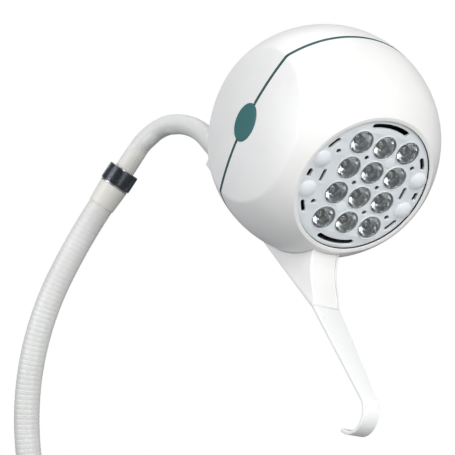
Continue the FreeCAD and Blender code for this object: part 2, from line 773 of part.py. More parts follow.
def panel_plugs():
    return copies(rod(PLUG_R, PANEL_BACK, PANEL_FRONT + 0.1), plug_places())


def panel_caps():
    """Domed covers over the panel screws, hollow for the screw heads."""
    ball_r = (CAP_R ** 2 + CAP_HEIGHT ** 2) / (2 * CAP_HEIGHT)
    ball = Part.makeSphere(ball_r, V(0, 0, PANEL_FRONT + CAP_HEIGHT - ball_r))
    dome = ball.common(rod(CAP_R, PANEL_FRONT, PANEL_FRONT + CAP_HEIGHT + 1))
    hollow = rod(SCREW_HEAD_R + GAP, PANEL_FRONT - 1, PANEL_FRONT + SCREW_HEAD + 0.1)
    return copies(dome.cut(hollow), cap_places())


def panel_screws():
    head = rod(SCREW_HEAD_R, PANEL_FRONT, PANEL_FRONT + SCREW_HEAD)
    shank = rod(SCREW_R, SINK_BACK - 10, PANEL_FRONT)
    drive = rod(SCREW_R / 2, PANEL_FRONT + SCREW_HEAD - 1, PANEL_FRONT + SCREW_HEAD)
    return copies(joined(head, shank).cut(drive), cap_places())


def collimator_lenses():
    front = PANEL_FRONT + LENS_PROUD
    rim = front - 0.5
    pocket_r = LED_DOME_R + 0.9
    outline = [(0, LENS_BACK + 3.6), (pocket_r, LENS_BACK + 3.2), (pocket_r + 0.3, LENS_BACK),
               (4.6, LENS_BACK), (7.6, LENS_BACK + 5.2), (LENS_R - 0.5, rim - 1.2),
               (LENS_R, rim - 1.2), (LENS_R, rim), (LENS_R - 0.9, rim),
               (LENS_R - 1.2, front - 0.2), (3.4, front), (0, front)]
    return copies(turned(outline), lens_places())


def lens_holders():
    top = PANEL_BACK - GAP
    wall_in = LENS_R + 0.15
    outline = [(wall_in, BOARD_FRONT), (LENS_HOLE_R + 0.4, BOARD_FRONT), (LENS_HOLE_R + 0.4, top),
               (wall_in, top)]
    tube = turned(outline)
    feet = ring(wall_in + 0.1, 5.6, BOARD_FRONT, BOARD_FRONT + 1)
    return copies(joined(tube, feet), lens_places())


def leds():
    half = LED_SIZE / 2
    base = block(-half, half, -half, half, BOARD_FRONT, BOARD_FRONT + LED_HEIGHT)
    dome = Part.makeSphere(LED_DOME_R, V(0, 0, BOARD_FRONT + LED_HEIGHT))
    dome = dome.common(rod(half, BOARD_FRONT + LED_HEIGHT / 2, BOARD_FRONT + 4))
    return copies(joined(base, dome), lens_places())


def led_board():
    board = rod(BOARD_R, BOARD_BACK, BOARD_FRONT)
    holes = [rod(SCREW_R + SLIP, BOARD_BACK - 1, BOARD_FRONT + 1, x, y) for x, y in cap_places()]
    return without(board, *holes)


def heat_sink():
    base = rod(BOARD_R, SINK_BACK, BOARD_BACK)
    fins = []
    for i in range(SINK_FINS):
        x = (i - (SINK_FINS - 1) / 2) * SINK_FIN_PITCH
        t = SINK_FIN_THICK / 2
        fins.append(block(x - t, x + t, -BIG, BIG, SINK_BACK - SINK_FIN_DEPTH, SINK_BACK + 1))
    envelope = rod(BOARD_R - 2, SINK_BACK - SINK_FIN_DEPTH, BOARD_BACK)
    envelope = envelope.cut(group(pillar_rooms()))
    body = joined(base, *[f.common(envelope) for f in fins])
    holes = [rod(SCREW_R + SLIP, SINK_BACK - 1, BOARD_BACK + 1, x, y) for x, y in cap_places()]
    return without(body, *holes)


def pillar_rooms():
    """Round rooms between the fins for the pillars and the shell bosses."""
    high = SINK_BACK
    rooms = [rod(PILLAR_R + 1, -HEAD_R, high, x, y) for x, y in cap_places()]
    rooms += [rod(BOSS_R + 1, -HEAD_R, high, x, y) for x, y in boss_places()]
    return rooms


def rear_pillars():
    low = CHASSIS_FRONT
    pillar = ring(PILLAR_R, SCREW_R, SINK_BACK - 12, SINK_BACK)
    foot = rod(PILLAR_R, low, SINK_BACK - 12)
    return copies(joined(pillar, foot), cap_places())


def front_pillars():
    return copies(ring(PILLAR_R, SCREW_R, BOARD_FRONT, PANEL_BACK), cap_places())


# ============================================================ chassis, driver
def chassis():
    """A bent steel plate: upright behind the light, with a foot on the keel."""
    x, y, c, z = CHASSIS_HALF_X, CHASSIS_HALF_Y, CHASSIS_CORNER, CHASSIS_FRONT
    corners = [(-x, -y + c), (-x + c, -y), (x - c, -y), (x, -y + c),
               (x, y - c), (x - c, y), (-x + c, y), (-x, y - c)]
    outline = [V(px, py, -z) for px, py in corners]
    plate = Part.Face(Part.makePolygon(outline + outline[:1])).extrude(V(0, 0, CHASSIS_THICK))
    leg = block(-FOOT_HALF_X, FOOT_HALF_X, RIB_TOP_Y, -CHASSIS_HALF_Y + 1, -z, z)
    foot = block(-FOOT_HALF_X, FOOT_HALF_X, RIB_TOP_Y, RIB_TOP_Y + CHASSIS_THICK,
                 -FOOT_HALF_Z, FOOT_HALF_Z)
    window = block(-CHASSIS_WINDOW_X, CHASSIS_WINDOW_X, -CHASSIS_WINDOW_Y, CHASSIS_WINDOW_Y,
                   -z - 1, z + 1)
    holes = [rod(SHELL_SCREW_R + SLIP, -z - 1, z + 1, px, py) for px, py in boss_places()]
    holes += [upright_rod(SCREW_R + 0.6, RIB_TOP_Y - 1, RIB_TOP_Y + CHASSIS_THICK + 1, s)
              for s in (-FOOT_SCREW_Z, FOOT_SCREW_Z)]
    return without(joined(plate, leg, foot), window, *holes)


def upright_rod(radius, y0, y1, z, x=0.0):
    """A round bar along the head's y."""
    return Part.makeCylinder(radius, y1 - y0, V(x, y0, z), V(0, 1, 0))


def foot_screws():
    screws = []
    top = RIB_TOP_Y + CHASSIS_THICK
    for z in (-FOOT_SCREW_Z, FOOT_SCREW_Z):
        shank = upright_rod(SCREW_R + 0.5, RIB_TOP_Y - 6, top, z)
        head = upright_rod(SCREW_HEAD_R + 0.8, top, top + 2.4, z)
        drive = upright_rod(SCREW_R, top + 1, top + 2.4, z)
        screws.append(joined(shank, head).cut(drive))
    return group(screws)


DRIVER_FRONT = -CHASSIS_FRONT - DRIVER_STANDOFF
DRIVER_BACK = DRIVER_FRONT - BOARD_THICK


def driver_corners():
    return [(sx * (DRIVER_HALF_X - 4), sy * (DRIVER_HALF_Y - 4)) for sx in (-1, 1) for sy in (-1, 1)]


def driver_board():
    board = block(-DRIVER_HALF_X, DRIVER_HALF_X, -DRIVER_HALF_Y, DRIVER_HALF_Y,
                  DRIVER_BACK, DRIVER_FRONT)
    holes = [rod(SCREW_R + SLIP, DRIVER_BACK - 1, DRIVER_FRONT + 1, x, y)
             for x, y in driver_corners()]
    return without(board, *holes)


def driver_standoffs():
    return copies(ring(DRIVER_STANDOFF_R, SCREW_R, DRIVER_FRONT, -CHASSIS_FRONT), driver_corners())


def driver_screws():
    head = rod(SCREW_HEAD_R, DRIVER_BACK - SCREW_HEAD, DRIVER_BACK)
    shank = rod(SCREW_R, DRIVER_BACK, DRIVER_FRONT + 6)
    return copies(joined(head, shank), driver_corners())


def driver_coils():
    """Two wound chokes on the driver board."""
    coil = ring(9.0, 3.5, DRIVER_BACK - 9, DRIVER_BACK)
    return copies(coil, [(-14, 8), (12, 12)])


def driver_capacitors():
    can = rod(4.0, DRIVER_BACK - 14, DRIVER_BACK)
    return copies(can, [(-6, -12), (4, -12), (14, -10)])


def terminal_block():
    body = block(-15, 15, -DRIVER_HALF_Y + 1, -DRIVER_HALF_Y + 9, DRIVER_BACK - 10, DRIVER_BACK)
    ways = [rod(1.6, DRIVER_BACK - 11, DRIVER_BACK - 4, x, -DRIVER_HALF_Y + 5)
            for x in (-10, -5, 0, 5, 10)]
    return without(body, *ways)


# ==================================================== buttons (left cheek, -x)
FLANGE_OUT = math.sqrt((CHEEK_R - SHELL_WALL) ** 2 - (BUTTON_HALF_Y + 2) ** 2) - CHEEK_CENTRE - 0.4
STEM_END = CHEEK_X - BUTTON_STEM_LENGTH
PLUNGER_END = STEM_END - BUTTON_TRAVEL - GAP
SWITCH_FACE = PLUNGER_END - SWITCH_PLUNGER
BOARD_FACE = SWITCH_FACE - SWITCH_BODY
BRACKET_FACE = BOARD_FACE - SWITCH_BOARD


def flange_room(side):
    """Where the button's flange lies and travels behind the shells."""
    half_y = BUTTON_HALF_Y + BUTTON_FLANGE_RIM + GAP
    half_z = BUTTON_HALF_Z + BUTTON_FLANGE_RIM + GAP
    return oval(half_y, half_z, side * (CHEEK_X / 2), side * (FLANGE_OUT + GAP))


def left_button():
    dome = Part.makeSphere(CHEEK_R + BUTTON_PROUD, V(CHEEK_CENTRE, 0, 0))
    body = oval(BUTTON_HALF_Y, BUTTON_HALF_Z, -HEAD_R, -FLANGE_OUT).common(dome)
    rim = BUTTON_FLANGE_RIM
    flange = oval(BUTTON_HALF_Y + rim, BUTTON_HALF_Z + rim, -FLANGE_OUT,
                  -FLANGE_OUT + BUTTON_FLANGE)
    hollow = oval(BUTTON_HALF_Y - rim, BUTTON_HALF_Z - rim, -CHEEK_X + BUTTON_FACE, 0)
    stem = Part.makeCylinder(BUTTON_STEM_R, BUTTON_STEM_LENGTH - BUTTON_FACE / 2,
                             V(-CHEEK_X + BUTTON_FACE / 2, 0, 0), V(1, 0, 0))
    return joined(without(joined(body, flange), hollow), stem)


def right_button():
    return mirrored_x(left_button())


def push_switches():
    """Behind each button, a sealed push switch on its own small board."""
    board = block(-BOARD_FACE, -BRACKET_FACE, -SWITCH_BOARD_HALF, SWITCH_BOARD_HALF,
                  -SWITCH_BOARD_HALF, SWITCH_BOARD_HALF)
    case = block(-SWITCH_FACE, -BOARD_FACE, -SWITCH_HALF, SWITCH_HALF, -SWITCH_HALF, SWITCH_HALF)
    plunger = Part.makeCylinder(SWITCH_PLUNGER_R, PLUNGER_END - SWITCH_FACE,
                                V(-PLUNGER_END, 0, 0), V(1, 0, 0))
    return pair(joined(board, case, plunger))


def switch_brackets():
    """Angle brackets from the chassis plate to the switch boards."""
    y = BRACKET_HALF_Y
    upright = block(-BRACKET_FACE, -BRACKET_FACE + BRACKET, -y, y, -10, 10 + BRACKET)
    arm = block(-BRACKET_FACE, -CHASSIS_HALF_X + BRACKET_REACH, -y, y,
                CHASSIS_FRONT, CHASSIS_FRONT + BRACKET)
    hole = rod(SCREW_R + SLIP, 0, 10, bracket_screw_x(), 0)
    return pair(without(joined(upright, arm), hole))


def bracket_screw_x():
    return -CHASSIS_HALF_X + BRACKET_REACH / 2


def bracket_screws():
    face = CHASSIS_FRONT + BRACKET
    head = rod(SCREW_HEAD_R, face, face + SCREW_HEAD)
    shank = rod(SCREW_R, CHASSIS_FRONT, face)
    return copies(joined(head, shank), [(bracket_screw_x(), 0), (-bracket_screw_x(), 0)])


def left_spring():
    """The return spring, wound round the button's stem."""
    room = BUTTON_STEM_LENGTH - BUTTON_FACE + BUTTON_TRAVEL + GAP + SWITCH_PLUNGER
    length = room - 2 * (SPRING_WIRE_R + SPRING_END_GAP)
    points = []
    for i in range(SPRING_TURNS * SPRING_STEPS + 1):
        angle = math.tau * i / SPRING_STEPS
        rise = length * i / (SPRING_TURNS * SPRING_STEPS)
        points.append(V(SPRING_R * math.cos(angle), SPRING_R * math.sin(angle), rise))
    end = Part.Wire(Part.makeCircle(SPRING_WIRE_R, points[0], points[1] - points[0]))
    coil = Part.makePolygon(points).makePipeShell([end], True, False, MITRED)
    start = -CHEEK_X + BUTTON_FACE + SPRING_WIRE_R + SPRING_END_GAP
    coil.Placement = Placement(V(start, 0, 0), Rotation(V(0, 1, 0), 90))
    return coil


def right_spring():
    return mirrored_x(left_spring())


# =============================================================== keel, handle
def keel_low(z):
    """The height of the keel's straight underside."""
    share = (z - KEEL_REAR_Z) / (KEEL_TIP_Z - KEEL_REAR_Z)
    return KEEL_REAR_LOW_Y + share * (KEEL_TIP_Y - KEEL_REAR_LOW_Y)


def keel_front(shift):
    """The curved front edge from its tip up to the lip, moved inwards."""
    tip = (KEEL_TIP_Y + KEEL_TIP_HEIGHT, KEEL_TIP_Z)
    points = [tip] + KEEL_FRONT
    return [(y - 0.6 * shift, z - 0.8 * shift) for y, z in points]


def curved_prism(front, back, width):
    """A slab across the head between a curved front and a list of corners."""
    x = -width / 2
    curve = Part.BSplineCurve()
    curve.interpolate([V(x, y, z) for y, z in front])
    corners = [V(x, y, z) for y, z in [front[-1]] + back + [front[0]]]
    edges = [curve.toShape()]
    edges += [Part.LineSegment(a, b).toShape() for a, b in zip(corners, corners[1:])]
    return Part.Face(Part.Wire(edges)).extrude(V(width, 0, 0))


def keel_bracket():
    """The cast arm under the ball: neck socket behind, handle in front."""
    back = [(KEEL_REAR_TOP_Y, 0), (KEEL_REAR_TOP_Y, KEEL_REAR_Z),
            (KEEL_REAR_LOW_Y, KEEL_REAR_Z), (KEEL_TIP_Y, KEEL_TIP_Z)]
    body = curved_prism(keel_front(0), back, KEEL_WIDTH)
    body = body.makeFillet(KEEL_ROUND, keel_edges(body))
    body = body.cut(Part.makeSphere(HEAD_R + GAP))
    rib = block(-RIB_HALF_X, RIB_HALF_X, -HEAD_R - 1.0, RIB_TOP_Y, -RIB_HALF_Z, RIB_HALF_Z)
    body = joined(body, rib)
    cuts = [keel_recess(), keel_pocket(), tang_room(), socket_bore()]
    cuts += [upright_rod(SCREW_R + 0.5, RIB_TOP_Y - 6, RIB_TOP_Y + 1, z)
             for z in (-FOOT_SCREW_Z, FOOT_SCREW_Z)]
    cuts += [upright_rod(GRUB_R, -HEAD_R - 10, NECK_Y, socket_screw_z())]
    cuts += [upright_rod(SCREW_R, keel_low(z) - 1, keel_low(z) + KEEL_WALL + 1, z)
             for z in handle_screw_places()]
    return without(body, *cuts)


def keel_edges(shape):
    """The long lower edges and the edges round the rear face."""
    edges = []
    for edge in shape.Edges:
        box = edge.BoundBox
        long_low = box.ZLength > BIG / 4 and box.XLength < 0.01 and box.YMax < KEEL_REAR_LOW_Y + 0.01
        rear = abs(box.ZMax - KEEL_REAR_Z) < 0.01
        if long_low or rear:
            edges.append(edge)
    return edges


def keel_recess():
    """The shallow seat for the front cover, between the two side walls."""
    front = keel_front(-6)
    back = keel_front(COVER_SINK + COVER_THICK)[::-1]
    return curved_prism(front, back, KEEL_WIDTH - 2 * KEEL_WALL)


def keel_pocket():
    """The hollow behind the front cover."""
    wall = 2 * KEEL_WALL + 3
    front = keel_front(COVER_SINK)
    floor_z = KEEL_TIP_Z - KEEL_POCKET
    back = [(KEEL_REAR_TOP_Y + 4.0, floor_z), (keel_low(floor_z) + KEEL_WALL, floor_z),
            (keel_low(KEEL_TIP_Z - 3) + KEEL_WALL, KEEL_TIP_Z - 3)]
    pocket = curved_prism(front, back, KEEL_WIDTH - wall)
    return pocket.cut(Part.makeSphere(HEAD_R + GAP + KEEL_WALL))


def tang_outline(extra):
    """The handle's tang, on the floor of the pocket."""
    z0, z1 = KEEL_TIP_Z - HANDLE_TANG_LENGTH - extra, KEEL_TIP_Z + 1
    low, high = KEEL_WALL - extra, KEEL_WALL + HANDLE_TANG + extra
    return [(keel_low(z0) + low, z0), (keel_low(z1) + low, z1),
            (keel_low(z1) + high, z1), (keel_low(z0) + high, z0)]


def tang_room():
    return side_prism(tang_outline(SLIP), 2 * (HANDLE_TANG_HALF_X + SLIP))


def socket_bore():
    return rod(SOCKET_R + SLIP, KEEL_REAR_Z - 1, KEEL_REAR_Z + SOCKET_DEPTH, 0, NECK_Y)


def socket_screw_z():
    return KEEL_REAR_Z + SOCKET_SCREW_BACK


def neck_plug():
    """The steel end of the upper arm, clamped in the keel's socket."""
    plug = rod(SOCKET_R, KEEL_REAR_Z, KEEL_REAR_Z + SOCKET_DEPTH - 1, 0, NECK_Y)
    return plug.cut(rod(UPPER_CORE_BORE_R, KEEL_REAR_Z - 1, KEEL_REAR_Z + SOCKET_DEPTH, 0, NECK_Y))


def socket_screw():
    low = keel_low(socket_screw_z()) + 0.8
    screw = upright_rod(GRUB_R, low, NECK_Y - SOCKET_R, socket_screw_z())
    return screw.cut(upright_rod(GRUB_R / 2, low, low + 1.5, socket_screw_z()))


def keel_front_cover():
    front = keel_front(COVER_SINK)
    back = keel_front(COVER_SINK + COVER_THICK)[::-1]
    width = KEEL_WIDTH - 2 * KEEL_WALL - 2 * SLIP
    cover = curved_prism(front, back, width).cut(Part.makeSphere(HEAD_R + GAP))
    return cover.cut(side_prism(tang_outline(SLIP), KEEL_WIDTH))


def handle_screw_places():
    return [KEEL_TIP_Z - 12, KEEL_TIP_Z - 24]


def handle_screws():
    screws = []
    for z in handle_screw_places():
        low = keel_low(z)
        head = upright_rod(SCREW_HEAD_R, low + KEEL_WALL + HANDLE_TANG + 0.2,
                           low + KEEL_WALL + HANDLE_TANG + 1.9, z)
        shank = upright_rod(SCREW_R, low + 0.3, low + KEEL_WALL + HANDLE_TANG + 0.3, z)
        screws.append(joined(head, shank))
    return group(screws)


def handle_frame():
    """The frame at the strip's root: z along the strip, y to its upper side."""
    root = V(0, KEEL_TIP_Y, KEEL_TIP_Z + GAP)
    return Placement(root, Rotation(V(1, 0, 0), HANDLE_ANGLE))


def strip_section(width, z):
    """The strip's cross-section, standing on its lower side."""
    corners = [V(-width / 2, 0, z), V(width / 2, 0, z),
               V(width / 2, HANDLE_THICK, z), V(-width / 2, HANDLE_THICK, z)]
    return Part.makePolygon(corners + corners[:1])


def handle_strip():
    """The bent strip that the hand steers the light by."""
    root = strip_section(KEEL_WIDTH, 0)
    end = strip_section(HANDLE_END_WIDTH, HANDLE_RUN)
    run = Part.makeLoft([root, end], True, True)
    hook = Part.Face(end).revolve(V(0, -HOOK_R, HANDLE_RUN), V(1, 0, 0), HOOK_TURN)
    tip = Part.Face(end).extrude(V(0, 0, HOOK_TIP))
    tip.rotate(V(0, -HOOK_R, HANDLE_RUN), V(1, 0, 0), HOOK_TURN)
    strip = joined(run, hook, tip)
    free = [e for e in strip.Edges if e.BoundBox.ZMax > HANDLE_THICK]
    strip = strip.makeFillet(HANDLE_ROUND, free)
    strip.Placement = handle_frame()
    tang = side_prism(tang_outline(0), 2 * HANDLE_TANG_HALF_X)
    holes = [upright_rod(SCREW_R + SLIP, KEEL_TIP_Y - 5, KEEL_TIP_Y + 20, z)
             for z in handle_screw_places()]
    return without(joined(strip, tang), *holes)


# ================================================================== the nodes
def base_nodes():
    nodes = {"mount_spigot": mount_spigot(), "base_fitting": base_fitting(),
             "base_grub_screws": base_grub_screws(), "lower_sleeve": lower_sleeve()}
    for i, link in enumerate(lower_cores()):
        nodes[f"lower_core_{i + 1}"] = link
    return nodes


def collar_nodes():
    makers = [collar_ferrule, collar_body, collar_nut, lower_washer, upper_washer]
    return {maker.__name__: maker() for maker in makers}


def swivel_nodes():
    return {maker.__name__: maker() for maker in (swivel_stem, swivel_boot)}


def upper_nodes():
    nodes = {"upper_sleeve": upper_sleeve()}
    for i, link in enumerate(upper_cores()):
        nodes[f"upper_core_{i + 1}"] = link
    return nodes


def head_nodes():
    makers = [front_shell, rear_shell, shell_screws, seam_gasket, lens_panel, panel_plugs,
              panel_caps, panel_screws, collimator_lenses, lens_holders, leds, led_board,
              heat_sink, rear_pillars, front_pillars, chassis, foot_screws, driver_board,
              driver_standoffs, driver_screws, driver_coils, driver_capacitors,
              terminal_block, bracket_screws, left_button, right_button, push_switches,
              switch_brackets, left_spring, right_spring, keel_bracket, neck_plug, socket_screw,
              keel_front_cover, handle_screws, handle_strip]
    return {maker.__name__: maker() for maker in makers}


def export(nodes, frame):
    """Put each piece in its place and write it."""
    for name, shape in nodes.items():
        shape.Placement = frame.multiply(shape.Placement)
        shape.exportStep(f"parts/{name}.step")
        print(f"{name:22s} solids {len(shape.Solids):3d}  volume {shape.Volume / 1000:8.2f} cm3"
              f"  valid {shape.isValid()}")


def main():
    os.makedirs("parts", exist_ok=True)
    export(base_nodes(), BASE)
    export(collar_nodes(), COLLAR)
    export(swivel_nodes(), SWIVEL)
    export(upper_nodes(), BASE)
    export(head_nodes(), HEAD)


main()
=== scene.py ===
# %% [markdown]
# # A dental operating light on two goosenecks
# The light is a white ball with two flattened cheeks, a round panel of twelve
# lenses, and a steering handle below.  A thin gooseneck carries it, and a thick
# one carries that.  The frame loaded here holds every part at its true place, so
# each piece below is only a better looking skin for a part that is already there.

# %% Load the frame
import json
import math

import bpy
from mathutils import Matrix, Vector

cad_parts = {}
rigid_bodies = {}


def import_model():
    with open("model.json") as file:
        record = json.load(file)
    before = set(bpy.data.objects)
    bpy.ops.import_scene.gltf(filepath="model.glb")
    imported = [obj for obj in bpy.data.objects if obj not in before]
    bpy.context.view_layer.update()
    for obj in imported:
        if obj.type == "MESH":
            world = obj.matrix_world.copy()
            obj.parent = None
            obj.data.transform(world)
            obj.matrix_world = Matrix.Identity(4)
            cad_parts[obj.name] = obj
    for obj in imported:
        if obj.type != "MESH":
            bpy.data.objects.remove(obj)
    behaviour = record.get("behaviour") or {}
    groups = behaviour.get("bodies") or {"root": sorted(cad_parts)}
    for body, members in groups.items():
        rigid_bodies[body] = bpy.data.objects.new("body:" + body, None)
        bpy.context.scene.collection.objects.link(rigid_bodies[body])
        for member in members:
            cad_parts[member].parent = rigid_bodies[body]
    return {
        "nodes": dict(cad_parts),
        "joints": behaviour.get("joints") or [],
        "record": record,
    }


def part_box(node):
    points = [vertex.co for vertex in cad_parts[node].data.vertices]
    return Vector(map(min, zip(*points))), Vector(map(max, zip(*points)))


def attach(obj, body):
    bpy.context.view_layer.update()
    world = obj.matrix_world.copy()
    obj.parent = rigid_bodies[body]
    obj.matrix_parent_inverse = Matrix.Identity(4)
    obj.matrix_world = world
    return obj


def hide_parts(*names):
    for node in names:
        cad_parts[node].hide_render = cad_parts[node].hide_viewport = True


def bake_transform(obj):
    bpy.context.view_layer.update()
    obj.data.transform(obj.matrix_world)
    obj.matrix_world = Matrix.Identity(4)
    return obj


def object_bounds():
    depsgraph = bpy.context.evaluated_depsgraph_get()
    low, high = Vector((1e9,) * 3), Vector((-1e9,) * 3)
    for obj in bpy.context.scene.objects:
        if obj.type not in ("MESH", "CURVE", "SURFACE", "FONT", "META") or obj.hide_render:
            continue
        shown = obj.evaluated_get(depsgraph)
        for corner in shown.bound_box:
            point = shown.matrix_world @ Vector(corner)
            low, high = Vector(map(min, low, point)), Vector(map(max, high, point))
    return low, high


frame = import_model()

cad_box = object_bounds()
MM = 0.001                 # the scene is in metres, and sizes below are in millimetres

# %% [markdown]
# ## Where the head and the arm are
# The two buttons are mirror images, so the point half way between them is the
# middle of the ball.  The LED board is a disc in front of that point, which gives
# the way that the light faces.  Working these out from the frame, and not typing
# them in, keeps every new piece on its part.


# %% The head's own axes
def middle(node):
    """The middle of a node's box."""
    low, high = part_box(node)
    return (low + high) / 2


HEAD_CENTRE = (middle("left_button") + middle("right_button")) / 2
FORWARD = (middle("led_board") - HEAD_CENTRE).normalized()
ACROSS = middle("right_button") - middle("left_button")
ACROSS = (ACROSS - FORWARD * ACROSS.dot(FORWARD)).normalized()
UP = FORWARD.cross(ACROSS)
HEAD = Matrix.Translation(HEAD_CENTRE) @ Matrix((ACROSS, UP, FORWARD)).transposed().to_4x4()
print("head centre (mm):", [round(c / MM, 1) for c in HEAD_CENTRE])

# %% [markdown]
# The arm is a chain of straights and arcs.  Each stretch is a radius and a turn
# in degrees, and a straight has no radius, only a length.  Walking along them
# gives a frame at any distance, with Z along the arm, so a sleeve can be made
# straight and then laid along it ring by ring.

# %% Walk along the arm
LOWER = [(None, 60.0), (520.0, -7.3), (302.0, 33.6), (628.0, 7.0), (None, 32.0)]
UPPER = [(None, 31.5), (42.0, 66.9), (88.5, 34.9), (None, 34.9)]
UPPER_SWIVEL = -50.4       # how far the upper arm is turned in its collar


def stretch(radius, turn):
    """The move along one stretch."""
    if radius is None:
        return Matrix.Translation((0, 0, turn * MM))
    angle = math.radians(turn)
    side = math.copysign(radius, turn) * MM
    move = (side * (1 - math.cos(angle)), 0, radius * MM * math.sin(abs(angle)))
    return Matrix.Translation(move) @ Matrix.Rotation(angle, 4, "Y")


def length_of(stretches):
    """The length of a whole arm in millimetres."""
    return sum(turn if radius is None else radius * math.radians(abs(turn))
               for radius, turn in stretches)


def along(start, stretches, distance):
    """The frame at a distance in millimetres along the arm."""
    place = start
    for radius, turn in stretches:
        length = turn if radius is None else radius * math.radians(abs(turn))
        if distance <= length:
            share = distance if radius is None else turn * distance / length
            return place @ stretch(radius, share)
        place = place @ stretch(radius, turn)
        distance -= length
    return place @ stretch(None, distance)


BASE = Matrix.Identity(4)
COLLAR = along(BASE, LOWER, length_of(LOWER))
SWIVEL = COLLAR @ Matrix.Rotation(math.radians(UPPER_SWIVEL), 4, "Z")
pivots = {j["name"]: Vector(j["pos_m"]) for j in frame["joints"] if "pos_m" in j}
print("collar is off by (mm):", round((COLLAR.translation - pivots["neck_swivel"]).length / MM, 3))

# %% [markdown]
# ## Small helpers
# An operator acts on whatever is selected, so each helper first selects only the
# piece in hand.  A finished piece has its place in its mesh, with its object at
# the origin, so that patterns stay where they are when it is exported.


# %% Helpers for pieces
def only(piece):
    """Select one piece and nothing else."""
    bpy.ops.object.select_all(action="DESELECT")
    piece.select_set(True)
    bpy.context.view_layer.objects.active = piece
    return piece


def from_points(name, points, edges=(), faces=()):
    """A new mesh in millimetres, selected."""
    mesh = bpy.data.meshes.new(name)
    mesh.from_pydata([tuple(c * MM for c in p) for p in points], edges, faces)
    piece = bpy.data.objects.new(name, mesh)
    bpy.context.scene.collection.objects.link(piece)
    return only(piece)


def tidy_mesh(piece):
    """Merge doubles and turn every face outwards."""
    only(piece)
    bpy.ops.object.mode_set(mode="EDIT")
    bpy.ops.mesh.select_all(action="SELECT")
    bpy.ops.mesh.remove_doubles(threshold=0.001 * MM)
    bpy.ops.mesh.normals_make_consistent(inside=False)
    bpy.ops.object.mode_set(mode="OBJECT")
    return piece


def spun(name, outline, steps=96, closed=True, axis="Z"):
    """Spin an outline of (radius, height) in millimetres about Z or X."""
    place = (lambda r, h: (r, 0, h)) if axis == "Z" else (lambda r, h: (h, 0, r))
    edges = [(i, i + 1) for i in range(len(outline) - 1)]
    if closed:
        edges.append((len(outline) - 1, 0))
    piece = from_points(name, [place(r, h) for r, h in outline], edges)
    bpy.ops.object.mode_set(mode="EDIT")
    bpy.ops.mesh.select_all(action="SELECT")
    turn_axis = (0, 0, 1) if axis == "Z" else (1, 0, 0)
    bpy.ops.mesh.spin(steps=steps, angle=math.tau, center=(0, 0, 0), axis=turn_axis)
    bpy.ops.object.mode_set(mode="OBJECT")
    return tidy_mesh(piece)


def modified(piece, kind, **settings):
    """Add one modifier and apply it."""
    only(piece)
    modifier = piece.modifiers.new(kind.title(), kind)
    for name, value in settings.items():
        setattr(modifier, name, value)
    bpy.ops.object.modifier_apply(modifier=modifier.name)
    return piece


def bevelled(piece, width, segments=3, angle=35):
    """Round every edge sharper than an angle."""
    return modified(piece, "BEVEL", width=width * MM, segments=segments,
                    limit_method="ANGLE", angle_limit=math.radians(angle),
                    harden_normals=False)


def cut(piece, tool, operation="DIFFERENCE"):
    """Cut one closed piece with another, and remove the tool."""
    modified(piece, "BOOLEAN", object=tool, operation=operation, solver="MANIFOLD")
    bpy.data.objects.remove(tool)
    return piece


def smooth(piece, angle=32):
    """Shade smooth, and keep edges sharper than an angle."""
    only(piece)
    bpy.ops.object.shade_smooth_by_angle(angle=math.radians(angle))
    return piece


def placed(piece, place):
    """Move the mesh itself, and leave the object at the origin."""
    piece.data.transform(place)
    piece.data.update()
    return piece


def copied(piece, name, place):
    """A copy with its own mesh, moved to its place."""
    twin = piece.copy()
    twin.data = piece.data.copy()
    twin.name = name
    bpy.context.scene.collection.objects.link(twin)
    return placed(twin, place)


def shift(x, y, z=0.0):
    """A move in millimetres."""
    return Matrix.Translation((x * MM, y * MM, z * MM))


def arc(centre, radius, start, end, steps):
    """Points of an arc in a plane, with angles in degrees."""
    points = []
    for i in range(steps + 1):
        angle = math.radians(start + (end - start) * i / steps)
        points.append((centre[0] + radius * math.cos(angle), centre[1] + radius * math.sin(angle)))
    return points


def joined(name, pieces):
    """Join pieces into the first of them."""
    bpy.ops.object.select_all(action="DESELECT")
    for piece in pieces:
        piece.select_set(True)
    bpy.context.view_layer.objects.active = pieces[0]
    bpy.ops.object.join()
    pieces[0].name = name
    return pieces[0]


def part(piece, body, material, slot, *nodes):
    """Give a piece its finish, its body and the nodes that it stands for."""
    piece.data.materials.clear()
    piece.data.materials.append(material)
    piece.data.name = piece.name
    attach(piece, body)
    if nodes:
        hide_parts(*nodes)
    return piece


# %% [markdown]
# ## Materials
# Each finish is named for what it is made of and how its surface was made.  One
# function adds a node with its settings and links.  Colours are the hex values
# that a paint program shows, and are turned to linear light.


# %% Helpers for materials
def linear(hex_colour):
    """An sRGB hex colour as linear RGBA."""
    channels = [int(hex_colour[i:i + 2], 16) / 255 for i in (1, 3, 5)]
    light = [c / 12.92 if c <= 0.04045 else ((c + 0.055) / 1.055) ** 2.4 for c in channels]
    return (*light, 1.0)


def add(tree, kind, inputs=None, **settings):
    """Add a node, and link or set its inputs."""
    made = tree.nodes.new(kind)
    for name, value in settings.items():
        setattr(made, name, value)
    for socket, value in (inputs or {}).items():
        if isinstance(value, bpy.types.NodeSocket):
            tree.links.new(value, made.inputs[socket])
        else:
            made.inputs[socket].default_value = value
    return made


def new_material(name):
    """An empty material: its tree, and the object coordinates."""
    material = bpy.data.materials.new(name)
    material.use_nodes = True
    tree = material.node_tree
    tree.nodes.clear()
    return material, tree, add(tree, "ShaderNodeTexCoord").outputs["Object"]


def finish_material(tree, inputs):
    """The shader and the output."""
    shader = add(tree, "ShaderNodeBsdfPrincipled", inputs)
    add(tree, "ShaderNodeOutputMaterial", {"Surface": shader.outputs["BSDF"]})
    return shader


